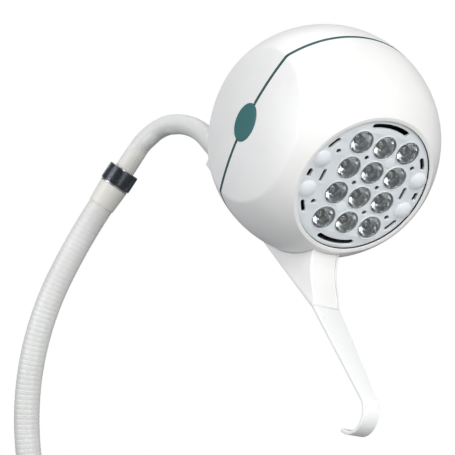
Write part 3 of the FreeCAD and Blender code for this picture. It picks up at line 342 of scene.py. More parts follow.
def varied(tree, where, size, low, high, detail=3.0):
    """A soft noise of a size in millimetres, from one value to another."""
    noise = add(tree, "ShaderNodeTexNoise",
                {"Vector": where, "Scale": 1 / (size * MM), "Detail": detail, "Roughness": 0.5})
    return add(tree, "ShaderNodeMapRange",
               {"Value": noise.outputs["Fac"], "From Min": 0.3, "From Max": 0.7,
                "To Min": low, "To Max": high}).outputs["Result"]


def two_tone(tree, factor, first, second):
    """A mix of two hex colours."""
    return add(tree, "ShaderNodeMix", {"Factor": factor, "A": linear(first), "B": linear(second)},
               data_type="RGBA").outputs["Result"]


def grain(tree, where, size, depth, detail=2.0, strength=0.6):
    """A bump of a grain size and a depth in millimetres."""
    noise = add(tree, "ShaderNodeTexNoise",
                {"Vector": where, "Scale": 1 / (size * MM), "Detail": detail, "Roughness": 0.55})
    return add(tree, "ShaderNodeBump",
               {"Height": noise.outputs["Fac"], "Distance": depth * MM, "Strength": strength}
               ).outputs["Normal"]


def moulded(name, first, second, roughness, size, depth, **extra):
    """A moulded plastic or rubber: two close tones, a fine mould grain."""
    material, tree, where = new_material(name)
    tone = two_tone(tree, varied(tree, where, 35, 0, 1), first, second)
    inputs = {"Base Color": tone, "IOR": 1.5,
              "Roughness": varied(tree, where, 6, roughness - 0.05, roughness + 0.05),
              "Normal": grain(tree, where, size, depth)}
    inputs.update(extra)
    finish_material(tree, inputs)
    return material


# %% [markdown]
# Moulded ABS has a faint even grain from a spark-eroded mould.  It is too fine to
# see one by one, so it is drawn about 0.7 mm wide.  Powder coat is rounder, like
# orange peel.  The goosenecks are sleeved in soft PVC, which is duller.

# %% Plastics, rubbers and coats
shell_abs = moulded("abs_white_moulded", "#f1f0ee", "#ecebe8", 0.36, 0.7, 0.012)
keel_coat = moulded("powder_coat_white", "#f3f2f0", "#efeeec", 0.34, 1.4, 0.004)
handle_coat = moulded("powder_coat_handle", "#f7f7f6", "#f4f4f3", 0.32, 1.4, 0.003)
gasket_rubber = moulded("gasket_teal_elastomer", "#1f4f4e", "#1b4746", 0.55, 0.5, 0.02)
button_abs = moulded("button_teal_textured", "#2b6a69", "#266363", 0.48, 0.55, 0.035)
panel_plastic = moulded("panel_polycarbonate_satin", "#e6eaec", "#e0e5e8", 0.40, 0.6, 0.01)
cap_gloss = moulded("cap_white_gloss", "#eef1f4", "#e9edf1", 0.22, 1.2, 0.006)
holder_nylon = moulded("lens_holder_nylon", "#a3a7a8", "#989c9e", 0.5, 0.6, 0.02)
washer_nylon = moulded("washer_natural_nylon", "#e6e1d2", "#ddd8c8", 0.45, 0.6, 0.01)
sleeve_pvc = moulded("sleeve_pvc_grey_white", "#e3e3e0", "#dbdbd8", 0.38, 1.1, 0.02)
ferrule_pvc = moulded("ferrule_pvc_cream", "#e7e5dc", "#e1dfd5", 0.42, 1.0, 0.02)
boot_pvc = moulded("boot_pvc_pale_cream", "#e4e3dd", "#dedcd5", 0.42, 1.0, 0.02)
# Painted shade: a black for the ledge behind the panel, so its slots look shadowed.
slot_shade_black = moulded("painted_shade_black_matt", "#141516", "#0f1011", 0.75, 0.8, 0.01)
solder_mask = moulded("board_black_mask", "#0d0e10", "#121316", 0.45, 0.8, 0.01)
green_board = moulded("board_green_mask", "#14482c", "#0f3d25", 0.38, 0.8, 0.01)
terminal_plastic = moulded("terminal_green_polyamide", "#2f6b3a", "#2a6034", 0.5, 0.6, 0.02)
phosphor = moulded("led_phosphor", "#e9cf6b", "#dfc35c", 0.5, 0.4, 0.02)

# %% [markdown]
# A metal gets its colour from its reflection, so metallic is 1 and the work is in
# its roughness.  A turned part carries fine rings from the tool, a drawn or cast
# one has only a soft grain.  The collar is black chrome: dark, but a true mirror.


# %% Metals
def metal(name, first, second, roughness, size=0.8, depth=0.006):
    """A metal with a soft grain."""
    material, tree, where = new_material(name)
    finish_material(tree, {
        "Base Color": two_tone(tree, varied(tree, where, 9, 0, 1), first, second),
        "Metallic": 1.0,
        "Roughness": varied(tree, where, 2.5, roughness - 0.05, roughness + 0.06),
        "Normal": grain(tree, where, size, depth)})
    return material


def turned_metal(name, first, second, roughness, place, pitch):
    """A metal with tool rings about an axis; place is the frame of that axis."""
    material, tree, where = new_material(name)
    back = place.inverted()
    mapping = add(tree, "ShaderNodeMapping",
                  {"Vector": where, "Location": back.translation, "Rotation": back.to_euler()})
    rings = add(tree, "ShaderNodeTexWave",
                {"Vector": mapping.outputs["Vector"], "Scale": 0.31 / (pitch * MM),
                 "Distortion": 0.6, "Detail": 2.0, "Detail Scale": 2.0},
                wave_type="BANDS", bands_direction="Z")
    bump = add(tree, "ShaderNodeBump", {"Height": rings.outputs["Fac"], "Distance": 0.004 * MM,
                                        "Strength": 0.5})
    finish_material(tree, {
        "Base Color": two_tone(tree, varied(tree, where, 7, 0, 1), first, second),
        "Metallic": 1.0,
        "Roughness": varied(tree, where, 3, roughness - 0.04, roughness + 0.06),
        "Normal": bump.outputs["Normal"]})
    return material


base_steel = turned_metal("steel_turned_satin", "#c9cacb", "#bcbdbf", 0.30, BASE, 0.5)
black_chrome = turned_metal("chrome_black_knurled", "#5d6166", "#4d5156", 0.24, COLLAR, 0.35)
# Painted highlight: the nut's top rim gets a lighter chrome where light falls on its top face, and a
# smoother one for its polish.
polished_highlight_chrome = turned_metal("chrome_rim_polish_painted_highlight", "#b9bcc0", "#a9adb2", 0.12, COLLAR, 0.35)
turned_steel = metal("steel_turned_plain", "#b4b5b7", "#a8a9ac", 0.32)
zinc_steel = metal("steel_zinc_plated", "#b9bbbe", "#a5a8ac", 0.36, 3.0, 0.004)
screw_steel = metal("steel_screw_zinc", "#a9abae", "#999ca0", 0.34)
spring_steel = metal("steel_spring_drawn", "#8b8d90", "#7d7f83", 0.34)
aluminium = metal("aluminium_extruded", "#c4c6c9", "#b6b8bc", 0.40)
copper = metal("copper_enamelled_winding", "#b06a3a", "#9c5a2f", 0.35, 0.6, 0.03)
capacitor = metal("capacitor_can_sleeved", "#6b7280", "#5e6573", 0.35)

# %% [markdown]
# The collimators are clear acrylic.  The front is polished and bends the view into
# a grey cup behind, which gives the dark crescents and bright sparks.

# %% Clear acrylic
acrylic, tree, where = new_material("acrylic_clear_polished")
finish_material(tree, {"Base Color": two_tone(tree, varied(tree, where, 8, 0, 1), "#f4f7f8", "#eef2f4"),
                       "Roughness": varied(tree, where, 3, 0.03, 0.08),
                       "Transmission Weight": 0.94, "IOR": 1.49,
                       "Normal": grain(tree, where, 2.5, 0.004)})

# %% [markdown]
# ## Camera, floor and light
# The camera stands level, two metres in front of the ball, with a long lens.  The
# floor is a plain pale sheet, and soft light comes from high on the right.

# %% Camera
CAMERA_OFFSET = Vector((-82.26, -2083.3, -73.51)) * MM
camera_data = bpy.data.cameras.new("camera")
camera_data.lens = 193.0
camera_data.sensor_width = 36.0
camera_data.clip_end = 100.0
camera = bpy.data.objects.new("camera", camera_data)
camera.location = HEAD_CENTRE + CAMERA_OFFSET
camera.rotation_euler = (math.radians(90), 0, 0)
bpy.context.scene.collection.objects.link(camera)
bpy.context.scene.camera = camera
bpy.context.scene.view_settings.view_transform = "Standard"

# %% Floor
bpy.ops.object.select_all(action="DESELECT")
bpy.ops.mesh.primitive_plane_add(size=60, location=(0, 0, cad_box[0].z - 0.5 * MM))
floor = bpy.context.object
floor.name = "floor"
floor_matt, tree, where = new_material("floor_pale_matt")
paper = add(tree, "ShaderNodeBsdfDiffuse",
            {"Color": two_tone(tree, varied(tree, where, 400, 0, 1), "#9a9b9c", "#939495")})
lit = add(tree, "ShaderNodeEmission", {"Color": linear("#ffffff"), "Strength": 1.0})
seen = add(tree, "ShaderNodeLightPath").outputs["Is Camera Ray"]
shown = add(tree, "ShaderNodeMixShader", {0: seen, 1: paper.outputs[0], 2: lit.outputs[0]})
add(tree, "ShaderNodeOutputMaterial", {"Surface": shown.outputs[0]})
floor.data.materials.append(floor_matt)


# %% Lights
def soft_light(name, offset, size, power, tint="#ffffff"):
    """A square light that looks at the ball."""
    data = bpy.data.lights.new(name, "AREA")
    data.size = size
    data.energy = power
    data.color = linear(tint)[:3]
    lamp = bpy.data.objects.new(name, data)
    lamp.location = HEAD_CENTRE + Vector(offset)
    lamp.rotation_euler = (-Vector(offset)).to_track_quat("-Z", "Y").to_euler()
    bpy.context.scene.collection.objects.link(lamp)


soft_light("key_high_right", (0.9, -2.0, 1.3), 1.3, 38)
soft_light("fill_left", (-2.1, -0.8, 0.6), 1.4, 25, "#fbfbff")
soft_light("top", (-0.4, 0.7, 2.1), 1.6, 10)
soft_light("front_low_right", (1.3, -2.3, -0.1), 1.0, 24)

world = bpy.data.worlds.new("studio")
bpy.context.scene.world = world
world.use_nodes = True
tree = world.node_tree
tree.nodes.clear()
seen = add(tree, "ShaderNodeLightPath").outputs["Is Camera Ray"]
room = add(tree, "ShaderNodeBackground", {"Color": linear("#e9edf0"), "Strength": 0.42})
white = add(tree, "ShaderNodeBackground", {"Color": linear("#ffffff"), "Strength": 1.0})
both = add(tree, "ShaderNodeMixShader", {0: seen, 1: room.outputs[0], 2: white.outputs[0]})
add(tree, "ShaderNodeOutputWorld", {"Surface": both.outputs[0]})

# %% [markdown]
# ## The ball's form
# The ball is spun about the line between its cheeks from five arcs: a shallow
# dome, a small round, the ball, and the same again.  The button's hole is cut
# out of each shell afterwards, so the same outline serves both shells.

# %% Sizes of the ball
BALL_R = 100.0
CHEEK_X = 83.5             # top of each cheek
CHEEK_R = 260.0            # its shallow dome
CHEEK_ROUND = 8.0
CHEEK_CENTRE = CHEEK_R - CHEEK_X
WALL = 2.8
SEAM = 3.4
LIP_R = 64.8
LIP_Z = math.sqrt(BALL_R ** 2 - LIP_R ** 2)
LIP_ROUND = 0.9
MOUTH_R = 61.3
MOUTH_ROUND = 0.5
PANEL_FRONT = LIP_Z - 1.85
PANEL_THICK = 2.5
THROAT_R = 56.8
LEDGE_LOW = PANEL_FRONT - 2 * PANEL_THICK
BUTTON_HALF_Y = 16.9
BUTTON_HALF_Z = 14.0
BUTTON_GAP = 0.3
TOOL_NEAR = 70.0           # inside the cheek, and
FAR = 130.0                # beyond the ball, for cutting tools


# %% Spin the ball
def ball_outline(inset):
    """(radius, x) points from one cheek's top to the other's."""
    ball, cheek, soft = BALL_R - inset, CHEEK_R - inset, CHEEK_ROUND - inset
    near, far = ball - soft, cheek - soft
    x = (far ** 2 - near ** 2 - CHEEK_CENTRE ** 2) / (2 * CHEEK_CENTRE)
    rim = math.sqrt(near ** 2 - x ** 2)
    ball_angle = math.degrees(math.atan2(rim, x))
    dome_angle = math.degrees(math.atan2(rim, x + CHEEK_CENTRE))
    dome = arc((-CHEEK_CENTRE, 0), cheek, 0, dome_angle, 26)
    blend = arc((x, rim), soft, dome_angle, ball_angle, 8)
    across = arc((0, 0), ball, ball_angle, 90, 30)
    half = dome + blend[1:] + across[1:]
    return [(r, x) for x, r in half] + [(r, -x) for x, r in half[-2::-1]]


def ball_form(name, inset):
    """The ball with its cheeks, with its skin moved in by an inset."""
    outline = ball_outline(inset)
    outline[0] = (0, outline[0][1])
    outline[-1] = (0, outline[-1][1])
    return spun(name, outline, steps=192, closed=False, axis="X")


def oval_tool(grow, x0, x1):
    """An oval bar along X, a little larger than a button."""
    bpy.ops.object.select_all(action="DESELECT")
    bpy.ops.mesh.primitive_cylinder_add(vertices=96, radius=1, depth=abs(x1 - x0) * MM,
                                        rotation=(0, math.pi / 2, 0))
    tool = bpy.context.object
    bpy.ops.object.transform_apply(location=False, rotation=True, scale=False)
    size = Matrix.Diagonal((1, (BUTTON_HALF_Y + grow) * MM, (BUTTON_HALF_Z + grow) * MM, 1))
    return placed(tool, Matrix.Translation(((x0 + x1) / 2 * MM, 0, 0)) @ size)


# %% [markdown]
# ## The two shells
# Each shell is the ball cut by a limiting body, then hollowed.  The front one is
# limited by a body whose corner is rounded where the flat lip meets the ball, and
# opened by a body that rounds the inside of the mouth.  The ledge behind the panel
# is painted black as painted shade, so that the panel's slots look shadowed.

# %% Front shell
lip_r = math.sqrt((BALL_R - LIP_ROUND) ** 2 - (LIP_Z - LIP_ROUND) ** 2)
lip_angle = math.degrees(math.atan2(LIP_Z - LIP_ROUND, lip_r))
lip_arc = arc((lip_r, LIP_Z - LIP_ROUND), LIP_ROUND, lip_angle, 90, 6)
touch_r, touch_z = lip_arc[0]
slope = touch_r / touch_z
skirt = (FAR, touch_z - (FAR - touch_r) * slope)
limit = spun("front_limit", [(0, SEAM / 2), (FAR, SEAM / 2), skirt] + lip_arc + [(0, LIP_Z)], 192)
front = cut(ball_form("front_shell_skin", 0), limit, "INTERSECT")

room_limit = spun("room_limit", [(0, -1), (FAR, -1), (FAR, LEDGE_LOW), (0, LEDGE_LOW)], 96)
front = cut(front, cut(ball_form("front_room", WALL), room_limit, "INTERSECT"))
mouth_arc = arc((MOUTH_R + MOUTH_ROUND, LIP_Z - MOUTH_ROUND), MOUTH_ROUND, 180, 90, 4)
mouth = [(0, LEDGE_LOW - 1), (THROAT_R, LEDGE_LOW - 1), (THROAT_R, PANEL_FRONT - PANEL_THICK),
         (MOUTH_R, PANEL_FRONT - PANEL_THICK)] + mouth_arc
mouth += [(MOUTH_R + MOUTH_ROUND, FAR), (0, FAR)]
front = cut(front, spun("mouth_tool", mouth, 192))
for side in (-1, 1):
    front = cut(front, oval_tool(BUTTON_GAP, side * TOOL_NEAR, side * FAR))
smooth(front)
part(front, "head", shell_abs, "shell_white", "front_shell")
# The ledge faces that show through the panel's slots get the painted shade black.
front.data.materials.append(slot_shade_black)
for face in front.data.polygons:
    x, y, z = face.center / MM
    if PANEL_FRONT - 6 < z < PANEL_FRONT - 0.4 and math.hypot(x, y) < MOUTH_R + 0.1:
        face.material_index = 1
placed(front, HEAD)
print("front shell triangles:", sum(len(p.vertices) - 2 for p in front.data.polygons))

# %% [markdown]
# The rear shell also has four deep round seats for the screws that draw the two
# halves together.  Each seat is a tube grown in from the skin, so the tube is
# trimmed by the ball's own form before the hole is cut through it.

# %% Rear shell
SCREW_X, SCREW_Y = 47.0, 38.0
SEAT_R = 3.7
SEAT_WALL_R = 5.0
SHANK_R = 2.0
SEAT_DEPTH = 6.0           # from the inside of the wall to the seat
seat_floor = -math.sqrt((BALL_R - WALL) ** 2 - SCREW_X ** 2 - SCREW_Y ** 2) + SEAT_DEPTH

behind = [(0, -FAR), (FAR, -FAR), (FAR, -SEAM / 2), (0, -SEAM / 2)]
rear = cut(ball_form("rear_shell_skin", 0), spun("rear_limit", behind, 96), "INTERSECT")
inside = [(0, -FAR), (FAR, -FAR), (FAR, 1), (0, 1)]
rear = cut(rear, cut(ball_form("rear_room", WALL), spun("rear_room_limit", inside, 96), "INTERSECT"))
for sx in (-1, 1):
    for sy in (-1, 1):
        place = shift(sx * SCREW_X, sy * SCREW_Y)
        post = [(0, -FAR), (SEAT_WALL_R, -FAR), (SEAT_WALL_R, -2), (0, -2)]
        boss = placed(spun("boss", post, 48), place)
        boss = cut(boss, ball_form("boss_limit", WALL / 2), "INTERSECT")
        rear = cut(rear, boss, "UNION")
        hole = [(0, -FAR), (SEAT_R, -FAR), (SEAT_R, seat_floor)]
        hole += [(SHANK_R, seat_floor), (SHANK_R, 0), (0, 0)]
        rear = cut(rear, placed(spun("seat", hole, 48), place))
for side in (-1, 1):
    rear = cut(rear, oval_tool(BUTTON_GAP, side * TOOL_NEAR, side * FAR))
smooth(rear)
part(placed(rear, HEAD), "head", shell_abs, "shell_white", "rear_shell")

# %% [markdown]
# The seam is a strip of teal rubber between the shells, flush with their skin, and
# each shell's edge leaves a hair of a gap beside it.

# %% Seam gasket
GASKET_BACK = 0.02         # how far it lies under the shells' skin
GASKET_DEEPER = 1.4        # how far it reaches inside the shells
GASKET_BUTTON_GAP = 2.1
band_half = SEAM / 2 - 0.02
band = [(0, -band_half), (FAR, -band_half), (FAR, band_half), (0, band_half)]
gasket = cut(ball_form("seam_gasket_strip", GASKET_BACK), spun("band", band, 96), "INTERSECT")
gasket = cut(gasket, ball_form("gasket_bore", WALL + GASKET_DEEPER))
for side in (-1, 1):
    gasket = cut(gasket, oval_tool(GASKET_BUTTON_GAP, side * TOOL_NEAR, side * FAR))
smooth(gasket)
part(placed(gasket, HEAD), "head", gasket_rubber, "teal", "seam_gasket")

# %% [markdown]
# ## The buttons
# Each button is an oval cap that follows the cheek's dome.  It is made as rings
# from the rim to the middle, so its height can be worked out for every point, and
# its rim is rounded with a bevel.

# %% Buttons
BUTTON_PROUD = 0.5
BUTTON_WALL = 3.2
BUTTON_RINGS = 8
BUTTON_STEPS = 96


def button(name, side):
    """An oval cap on one cheek; side is -1 on the left."""
    points, faces = [], []
    for k in range(BUTTON_RINGS):
        share = 1 - k / BUTTON_RINGS
        for i in range(BUTTON_STEPS):
            angle = math.tau * i / BUTTON_STEPS
            y, z = BUTTON_HALF_Y * share * math.cos(angle), BUTTON_HALF_Z * share * math.sin(angle)
            x = math.sqrt((CHEEK_R + BUTTON_PROUD) ** 2 - y * y - z * z) - CHEEK_CENTRE
            points.append((side * x, y, z))
    for k in range(BUTTON_RINGS - 1):
        for i in range(BUTTON_STEPS):
            j = (i + 1) % BUTTON_STEPS
            a, b = k * BUTTON_STEPS, (k + 1) * BUTTON_STEPS
            faces.append((a + i, a + j, b + j, b + i))
    last = (BUTTON_RINGS - 1) * BUTTON_STEPS
    points.append((side * (CHEEK_X + BUTTON_PROUD), 0, 0))
    faces += [(last + i, last + (i + 1) % BUTTON_STEPS, len(points) - 1) for i in range(BUTTON_STEPS)]
    cap = from_points(name, points, [], faces)
    bpy.ops.object.mode_set(mode="EDIT")
    bpy.ops.mesh.select_all(action="SELECT")
    inwards = (-side * BUTTON_WALL * MM, 0, 0)
    bpy.ops.mesh.extrude_region_move(TRANSFORM_OT_translate={"value": inwards})
    bpy.ops.object.mode_set(mode="OBJECT")
    tidy_mesh(cap)
    bevelled(cap, 0.45, 3, 50)
    tidy_mesh(cap)
    return smooth(cap, 40)


for name, side in (("left", -1), ("right", 1)):
    part(placed(button(name + "_button_cap", side), HEAD), name + "_button", button_abs,
         "teal_button", name + "_button")

# %% [markdown]
# ## The light panel
# A flat plate with many holes is quickest as a flat curve.  Every outline that
# lies inside the rim becomes a hole, and the curve's own bevel rounds all their
# edges at once.  It is made a mesh at the end.

# %% Places on the panel
LENS_PITCH = 24.3
LENS_SHIFT = 2.65
LENS_R = 10.0
LENS_HOLE_R = 10.6
LENS_PROUD = 0.5
LENS_DEPTH = 12.4
VENT_R = 2.1
PLUG_HOLE_R = 5.4
lens_columns = [LENS_SHIFT + LENS_PITCH * i for i in (-1, 0, 1)]
lenses = [(x, LENS_PITCH * j) for x in lens_columns for j in (-1.5, -0.5, 0.5, 1.5)]
left = LENS_SHIFT - LENS_PITCH / 2
squares = [(left + LENS_PITCH * i, LENS_PITCH * (j - 1)) for i in (0, 1) for j in (0, 1, 2)]
plugs = [squares[0], squares[-1]]
vents = squares[1:-1] + [(sx * 39.0, sy * LENS_PITCH) for sx in (-1, 1) for sy in (-1, 1)]
caps = [(sx * 50.6, sy * 14.5) for sx in (-1, 1) for sy in (-1, 1)]


# %% Outlines of the holes
def circle(x, y, radius, steps=40):
    """A round hole."""
    return arc((x, y), radius, 0, 360 - 360 / steps, steps - 1)


def straight_slot(x, width, length):
    """A round-ended slot that stands upright."""
    half = (length - width) / 2
    return arc((x, half), width / 2, 0, 180, 10) + arc((x, -half), width / 2, 180, 360, 10)


def curved_slot(radius, width, centre, half_turn):
    """A round-ended slot that follows a circle about the middle."""
    first, last = centre - half_turn, centre + half_turn
    near, far = radius - width / 2, radius + width / 2
    end_a = [radius * math.cos(math.radians(first)), radius * math.sin(math.radians(first))]
    end_b = [radius * math.cos(math.radians(last)), radius * math.sin(math.radians(last))]
    points = arc((0, 0), far, first, last, 14)
    points += arc(end_b, width / 2, last, last + 180, 8)[1:-1]
    points += arc((0, 0), near, last, first, 14)
    points += arc(end_a, width / 2, first + 180, first + 360, 8)[1:-1]
    return points


PANEL_R = 61.0
SLOT_CIRCLE = 55.6
outlines = [circle(0, 0, PANEL_R, 160)]
outlines += [circle(x, y, LENS_HOLE_R, 56) for x, y in lenses]
outlines += [circle(x, y, VENT_R, 24) for x, y in vents]
outlines += [circle(x, y, PLUG_HOLE_R, 32) for x, y in plugs]
outlines += [curved_slot(SLOT_CIRCLE, 4.4, centre, 17.3) for centre in (90, 270)]
outlines += [curved_slot(SLOT_CIRCLE, 3.6, centre, 4.5) for centre in (33, 147, 213, 327)]
for side in (-1, 1):
    outlines += [straight_slot(side * 55.8, 4.0, 7.8), straight_slot(side * 42.4, 3.0, 12.2)]

# %% Panel
EDGE = 0.3
curve = bpy.data.curves.new("lens_plate", "CURVE")
curve.dimensions = "2D"
curve.fill_mode = "BOTH"
curve.extrude = (PANEL_THICK / 2 - EDGE) * MM
curve.bevel_depth = EDGE * MM
curve.bevel_resolution = 2
curve.offset = -EDGE * MM
for outline in outlines:
    spline = curve.splines.new("POLY")
    spline.points.add(len(outline) - 1)
    for point, (x, y) in zip(spline.points, outline):
        point.co = (x * MM, y * MM, 0, 1)
    spline.use_cyclic_u = True
plate = bpy.data.objects.new("lens_plate", curve)
bpy.context.scene.collection.objects.link(plate)
only(plate)
bpy.ops.object.convert(target="MESH")
placed(plate, shift(0, 0, PANEL_FRONT - PANEL_THICK / 2))
tidy_mesh(plate)

# %% [markdown]
# Round each lens the panel rises in a thin ring.  One ring is spun and copied to
# the twelve places, and all are joined to the plate that they are moulded with.

# %% Rings on the panel
ring_line = [(LENS_HOLE_R, PANEL_FRONT - 0.6), (LENS_HOLE_R + 1.0, PANEL_FRONT - 0.6),
             (LENS_HOLE_R + 1.0, PANEL_FRONT + 0.1)]
ring_line += arc((LENS_HOLE_R + 0.6, PANEL_FRONT + 0.1), 0.4, 0, 90, 3)[1:]
ring_line += arc((LENS_HOLE_R + 0.4, PANEL_FRONT + 0.1), 0.4, 90, 180, 3)
ring = spun("lens_ring", ring_line, 64)
rings = [copied(ring, "ring", shift(x, y)) for x, y in lenses]
bpy.data.objects.remove(ring)
plate = joined("lens_plate", [plate] + rings)
smooth(plate, 40)
part(placed(plate, HEAD), "head", panel_plastic, "panel_grey", "lens_panel")

# %% [markdown]
# The four caps are shallow domes with a rounded rim.  Two blind plugs fill the
# first and the last place between the lenses.  Both are spun once and copied.

# %% Caps and plugs
CAP_R, CAP_HEIGHT = 8.5, 2.7
dome_r = (CAP_R ** 2 + CAP_HEIGHT ** 2) / (2 * CAP_HEIGHT)
dome_top = PANEL_FRONT + CAP_HEIGHT
dome_end = math.degrees(math.asin((CAP_R - 0.5) / dome_r))
dome_line = [(0, PANEL_FRONT + 0.02), (CAP_R - 0.3, PANEL_FRONT + 0.02), (CAP_R, PANEL_FRONT + 0.3)]
dome_line += arc((0, dome_top - dome_r), dome_r, 90 - dome_end, 90, 12)
dome = spun("cap", dome_line, 64)
for i, (x, y) in enumerate(caps):
    cap = smooth(copied(dome, f"screw_cap_{i + 1}", shift(x, y)), 50)
    part(placed(cap, HEAD), "head", cap_gloss, "cap_white", "panel_caps")
bpy.data.objects.remove(dome)

PLUG_R = 5.3
plug_line = [(0, PANEL_FRONT - PANEL_THICK), (PLUG_R, PANEL_FRONT - PANEL_THICK)]
plug_line += [(PLUG_R, PANEL_FRONT - 0.3), (PLUG_R - 0.3, PANEL_FRONT)]
plug_line += [(PLUG_R - 1.0, PANEL_FRONT + 0.1), (0, PANEL_FRONT + 0.18)]
plug = spun("plug", plug_line, 48)
for i, (x, y) in enumerate(plugs):
    piece = smooth(copied(plug, f"blind_plug_{i + 1}", shift(x, y)), 50)
    part(placed(piece, HEAD), "head", cap_gloss, "cap_white", "panel_plugs")
bpy.data.objects.remove(plug)

# %% [markdown]
# ## The lenses
# A collimator is a clear cone with a flange at the front and a pocket behind for
# its LED.  The pocket's roof is curved, and so is the cone's side, so that light
# is bent straight.  These curves make the lens sparkle.

# %% Collimators
lens_front = PANEL_FRONT + LENS_PROUD
lens_back = PANEL_FRONT + LENS_PROUD - LENS_DEPTH
cone = [(4.6, lens_back), (6.4, lens_back + 2.4), (7.8, lens_back + 5.2), (8.8, lens_back + 8.2),
        (LENS_R - 0.6, lens_front - 1.7), (LENS_R, lens_front - 1.6), (LENS_R, lens_front - 0.4)]
cone += arc((LENS_R - 0.4, lens_front - 0.4), 0.4, 0, 90, 4)[1:]
cone += [(LENS_R - 1.1, lens_front), (LENS_R - 1.4, lens_front - 0.45), (8.2, lens_front - 0.5)]
cone += [(6.0, lens_front - 0.35), (4.0, lens_front - 0.2), (3.8, lens_front - 0.6)]
cone += [(2.0, lens_front - 0.35), (0, lens_front - 0.25)]
pocket = [(0, lens_back + 4.6), (0.9, lens_back + 4.4), (1.7, lens_back + 3.8), (2.2, lens_back + 3.0),
          (2.5, lens_back)]
lens = spun("collimator", pocket + cone, 64)
for i, (x, y) in enumerate(lenses):
    piece = smooth(copied(lens, f"collimator_{i + 1}", shift(x, y)), 28)
    part(placed(piece, HEAD), "head", acrylic, "clear_lens", "collimator_lenses")
bpy.data.objects.remove(lens)

# %% [markdown]
# ## The keel and the handle
# The keel is a cast arm under the ball.  Its side is one outline with a straight
# underside and a front that curves up to the lip.  It is extruded, rounded, and
# then cut to sit on the ball.

# %% Keel
KEEL_WIDTH = 28.0
KEEL_WALL = 2.0
BALL_GAP = 0.3             # between the ball and the pieces under it
COVER_SINK = 0.9           # how far the cover lies below the keel's edges
COVER_THICK = 2.1
COVER_SEAT = 2.2
KEEL_REAR = -123.0
KEEL_REAR_LOW, KEEL_REAR_TOP = -97.8, -74.0
KEEL_TIP = (-105.4, 105.5)
FRONT_EDGE = [(-101.1, 105.5), (-95.0, 98.0), (-86.5, 86.0), (-77.5, 77.0), (-64.0, 71.0)]


def front_edge(inward, steps=6):
    """The keel's front as a smooth line through its points, moved inwards."""
    points = [Vector((y - 0.6 * inward, z - 0.8 * inward)) for y, z in FRONT_EDGE]
    ends = [2 * points[0] - points[1]] + points + [2 * points[-1] - points[-2]]
    line = []
    for i in range(1, len(ends) - 2):
        p0, p1, p2, p3 = ends[i - 1:i + 3]
        for k in range(steps):
            t = k / steps
            line.append(0.5 * (2 * p1 + (p2 - p0) * t + (2 * p0 - 5 * p1 + 4 * p2 - p3) * t * t
                               + (3 * p1 - p0 - 3 * p2 + p3) * t ** 3))
    return [tuple(p) for p in line] + [tuple(points[-1])]


def slab(name, outline, width):
    """A (y, z) outline extruded across the head."""
    face = from_points(name, [(-width / 2, y, z) for y, z in outline], [], [range(len(outline))])
    bpy.ops.object.mode_set(mode="EDIT")
    bpy.ops.mesh.select_all(action="SELECT")
    bpy.ops.mesh.extrude_region_move(TRANSFORM_OT_translate={"value": (width * MM, 0, 0)})
    bpy.ops.object.mode_set(mode="OBJECT")
    return tidy_mesh(face)


def ball_tool(radius):
    """A plain ball, for cutting."""
    bpy.ops.object.select_all(action="DESELECT")
    bpy.ops.mesh.primitive_uv_sphere_add(segments=192, ring_count=96, radius=radius * MM)
    return bpy.context.object


rear_face = [(KEEL_REAR_TOP, KEEL_REAR), (KEEL_REAR_LOW, KEEL_REAR)]
outline = front_edge(0) + [(KEEL_REAR_TOP, 0)] + rear_face + [KEEL_TIP]
keel = bevelled(slab("keel_arm", outline, KEEL_WIDTH), 1.2, 3, 40)
tidy_mesh(keel)
keel = cut(keel, ball_tool(BALL_R + BALL_GAP))
seat = front_edge(-8) + front_edge(COVER_SINK + COVER_SEAT)[::-1]
keel = cut(keel, slab("cover_seat", seat, KEEL_WIDTH - 2 * KEEL_WALL))
smooth(keel, 30)
part(placed(keel, HEAD), "head", keel_coat, "keel_white", "keel_bracket")

# %% [markdown]
# The keel's front is closed by a thin cover that lies between two side walls, one
# millimetre below them.

# %% Keel cover
strip = front_edge(COVER_SINK) + front_edge(COVER_SINK + COVER_THICK)[::-1]
cover = slab("keel_cover", strip, KEEL_WIDTH - 2 * KEEL_WALL - 0.25)
cover = bevelled(cover, 0.3, 2, 50)
cover = cut(tidy_mesh(cover), ball_tool(BALL_R + BALL_GAP))
smooth(cover, 30)
part(placed(cover, HEAD), "head", keel_coat, "keel_white", "keel_front_cover")

# %% [markdown]
# The handle is a flat strip that narrows and ends in a hook for the fingers.  Its
# end face is extruded for the straight run, spun for the hook and extruded once
# more for the tip, just as the strip would be bent.

# %% Handle
HANDLE_THICK = 3.2
HANDLE_ANGLE = 12.8
HANDLE_RUN = 103.0
HANDLE_END = 16.0
HOOK_R, HOOK_TURN, HOOK_TIP = 15.2, 150.0, 5.0
HANDLE_ROUND = 0.9
half = KEEL_WIDTH / 2
corners = [(-half, 0, 0), (half, 0, 0), (half, HANDLE_THICK, 0), (-half, HANDLE_THICK, 0)]
handle = from_points("steering_handle", corners, [], [(0, 1, 2, 3)])
bpy.ops.object.mode_set(mode="EDIT")
bpy.ops.mesh.select_all(action="SELECT")
bpy.ops.mesh.extrude_region_move(TRANSFORM_OT_translate={"value": (0, 0, HANDLE_RUN * MM)})
bpy.ops.transform.resize(value=(HANDLE_END / KEEL_WIDTH, 1, 1), center_override=(0, 0, HANDLE_RUN * MM))
bpy.ops.mesh.spin(steps=40, angle=math.radians(HOOK_TURN), center=(0, -HOOK_R * MM, HANDLE_RUN * MM),
                  axis=(-1, 0, 0))
turn = math.radians(HOOK_TURN)
tip = (0, -HOOK_TIP * math.sin(turn) * MM, HOOK_TIP * math.cos(turn) * MM)
bpy.ops.mesh.extrude_region_move(TRANSFORM_OT_translate={"value": tip})
bpy.ops.object.mode_set(mode="OBJECT")
tidy_mesh(handle)
bevelled(handle, HANDLE_ROUND, 4, 40)
smooth(handle, 30)
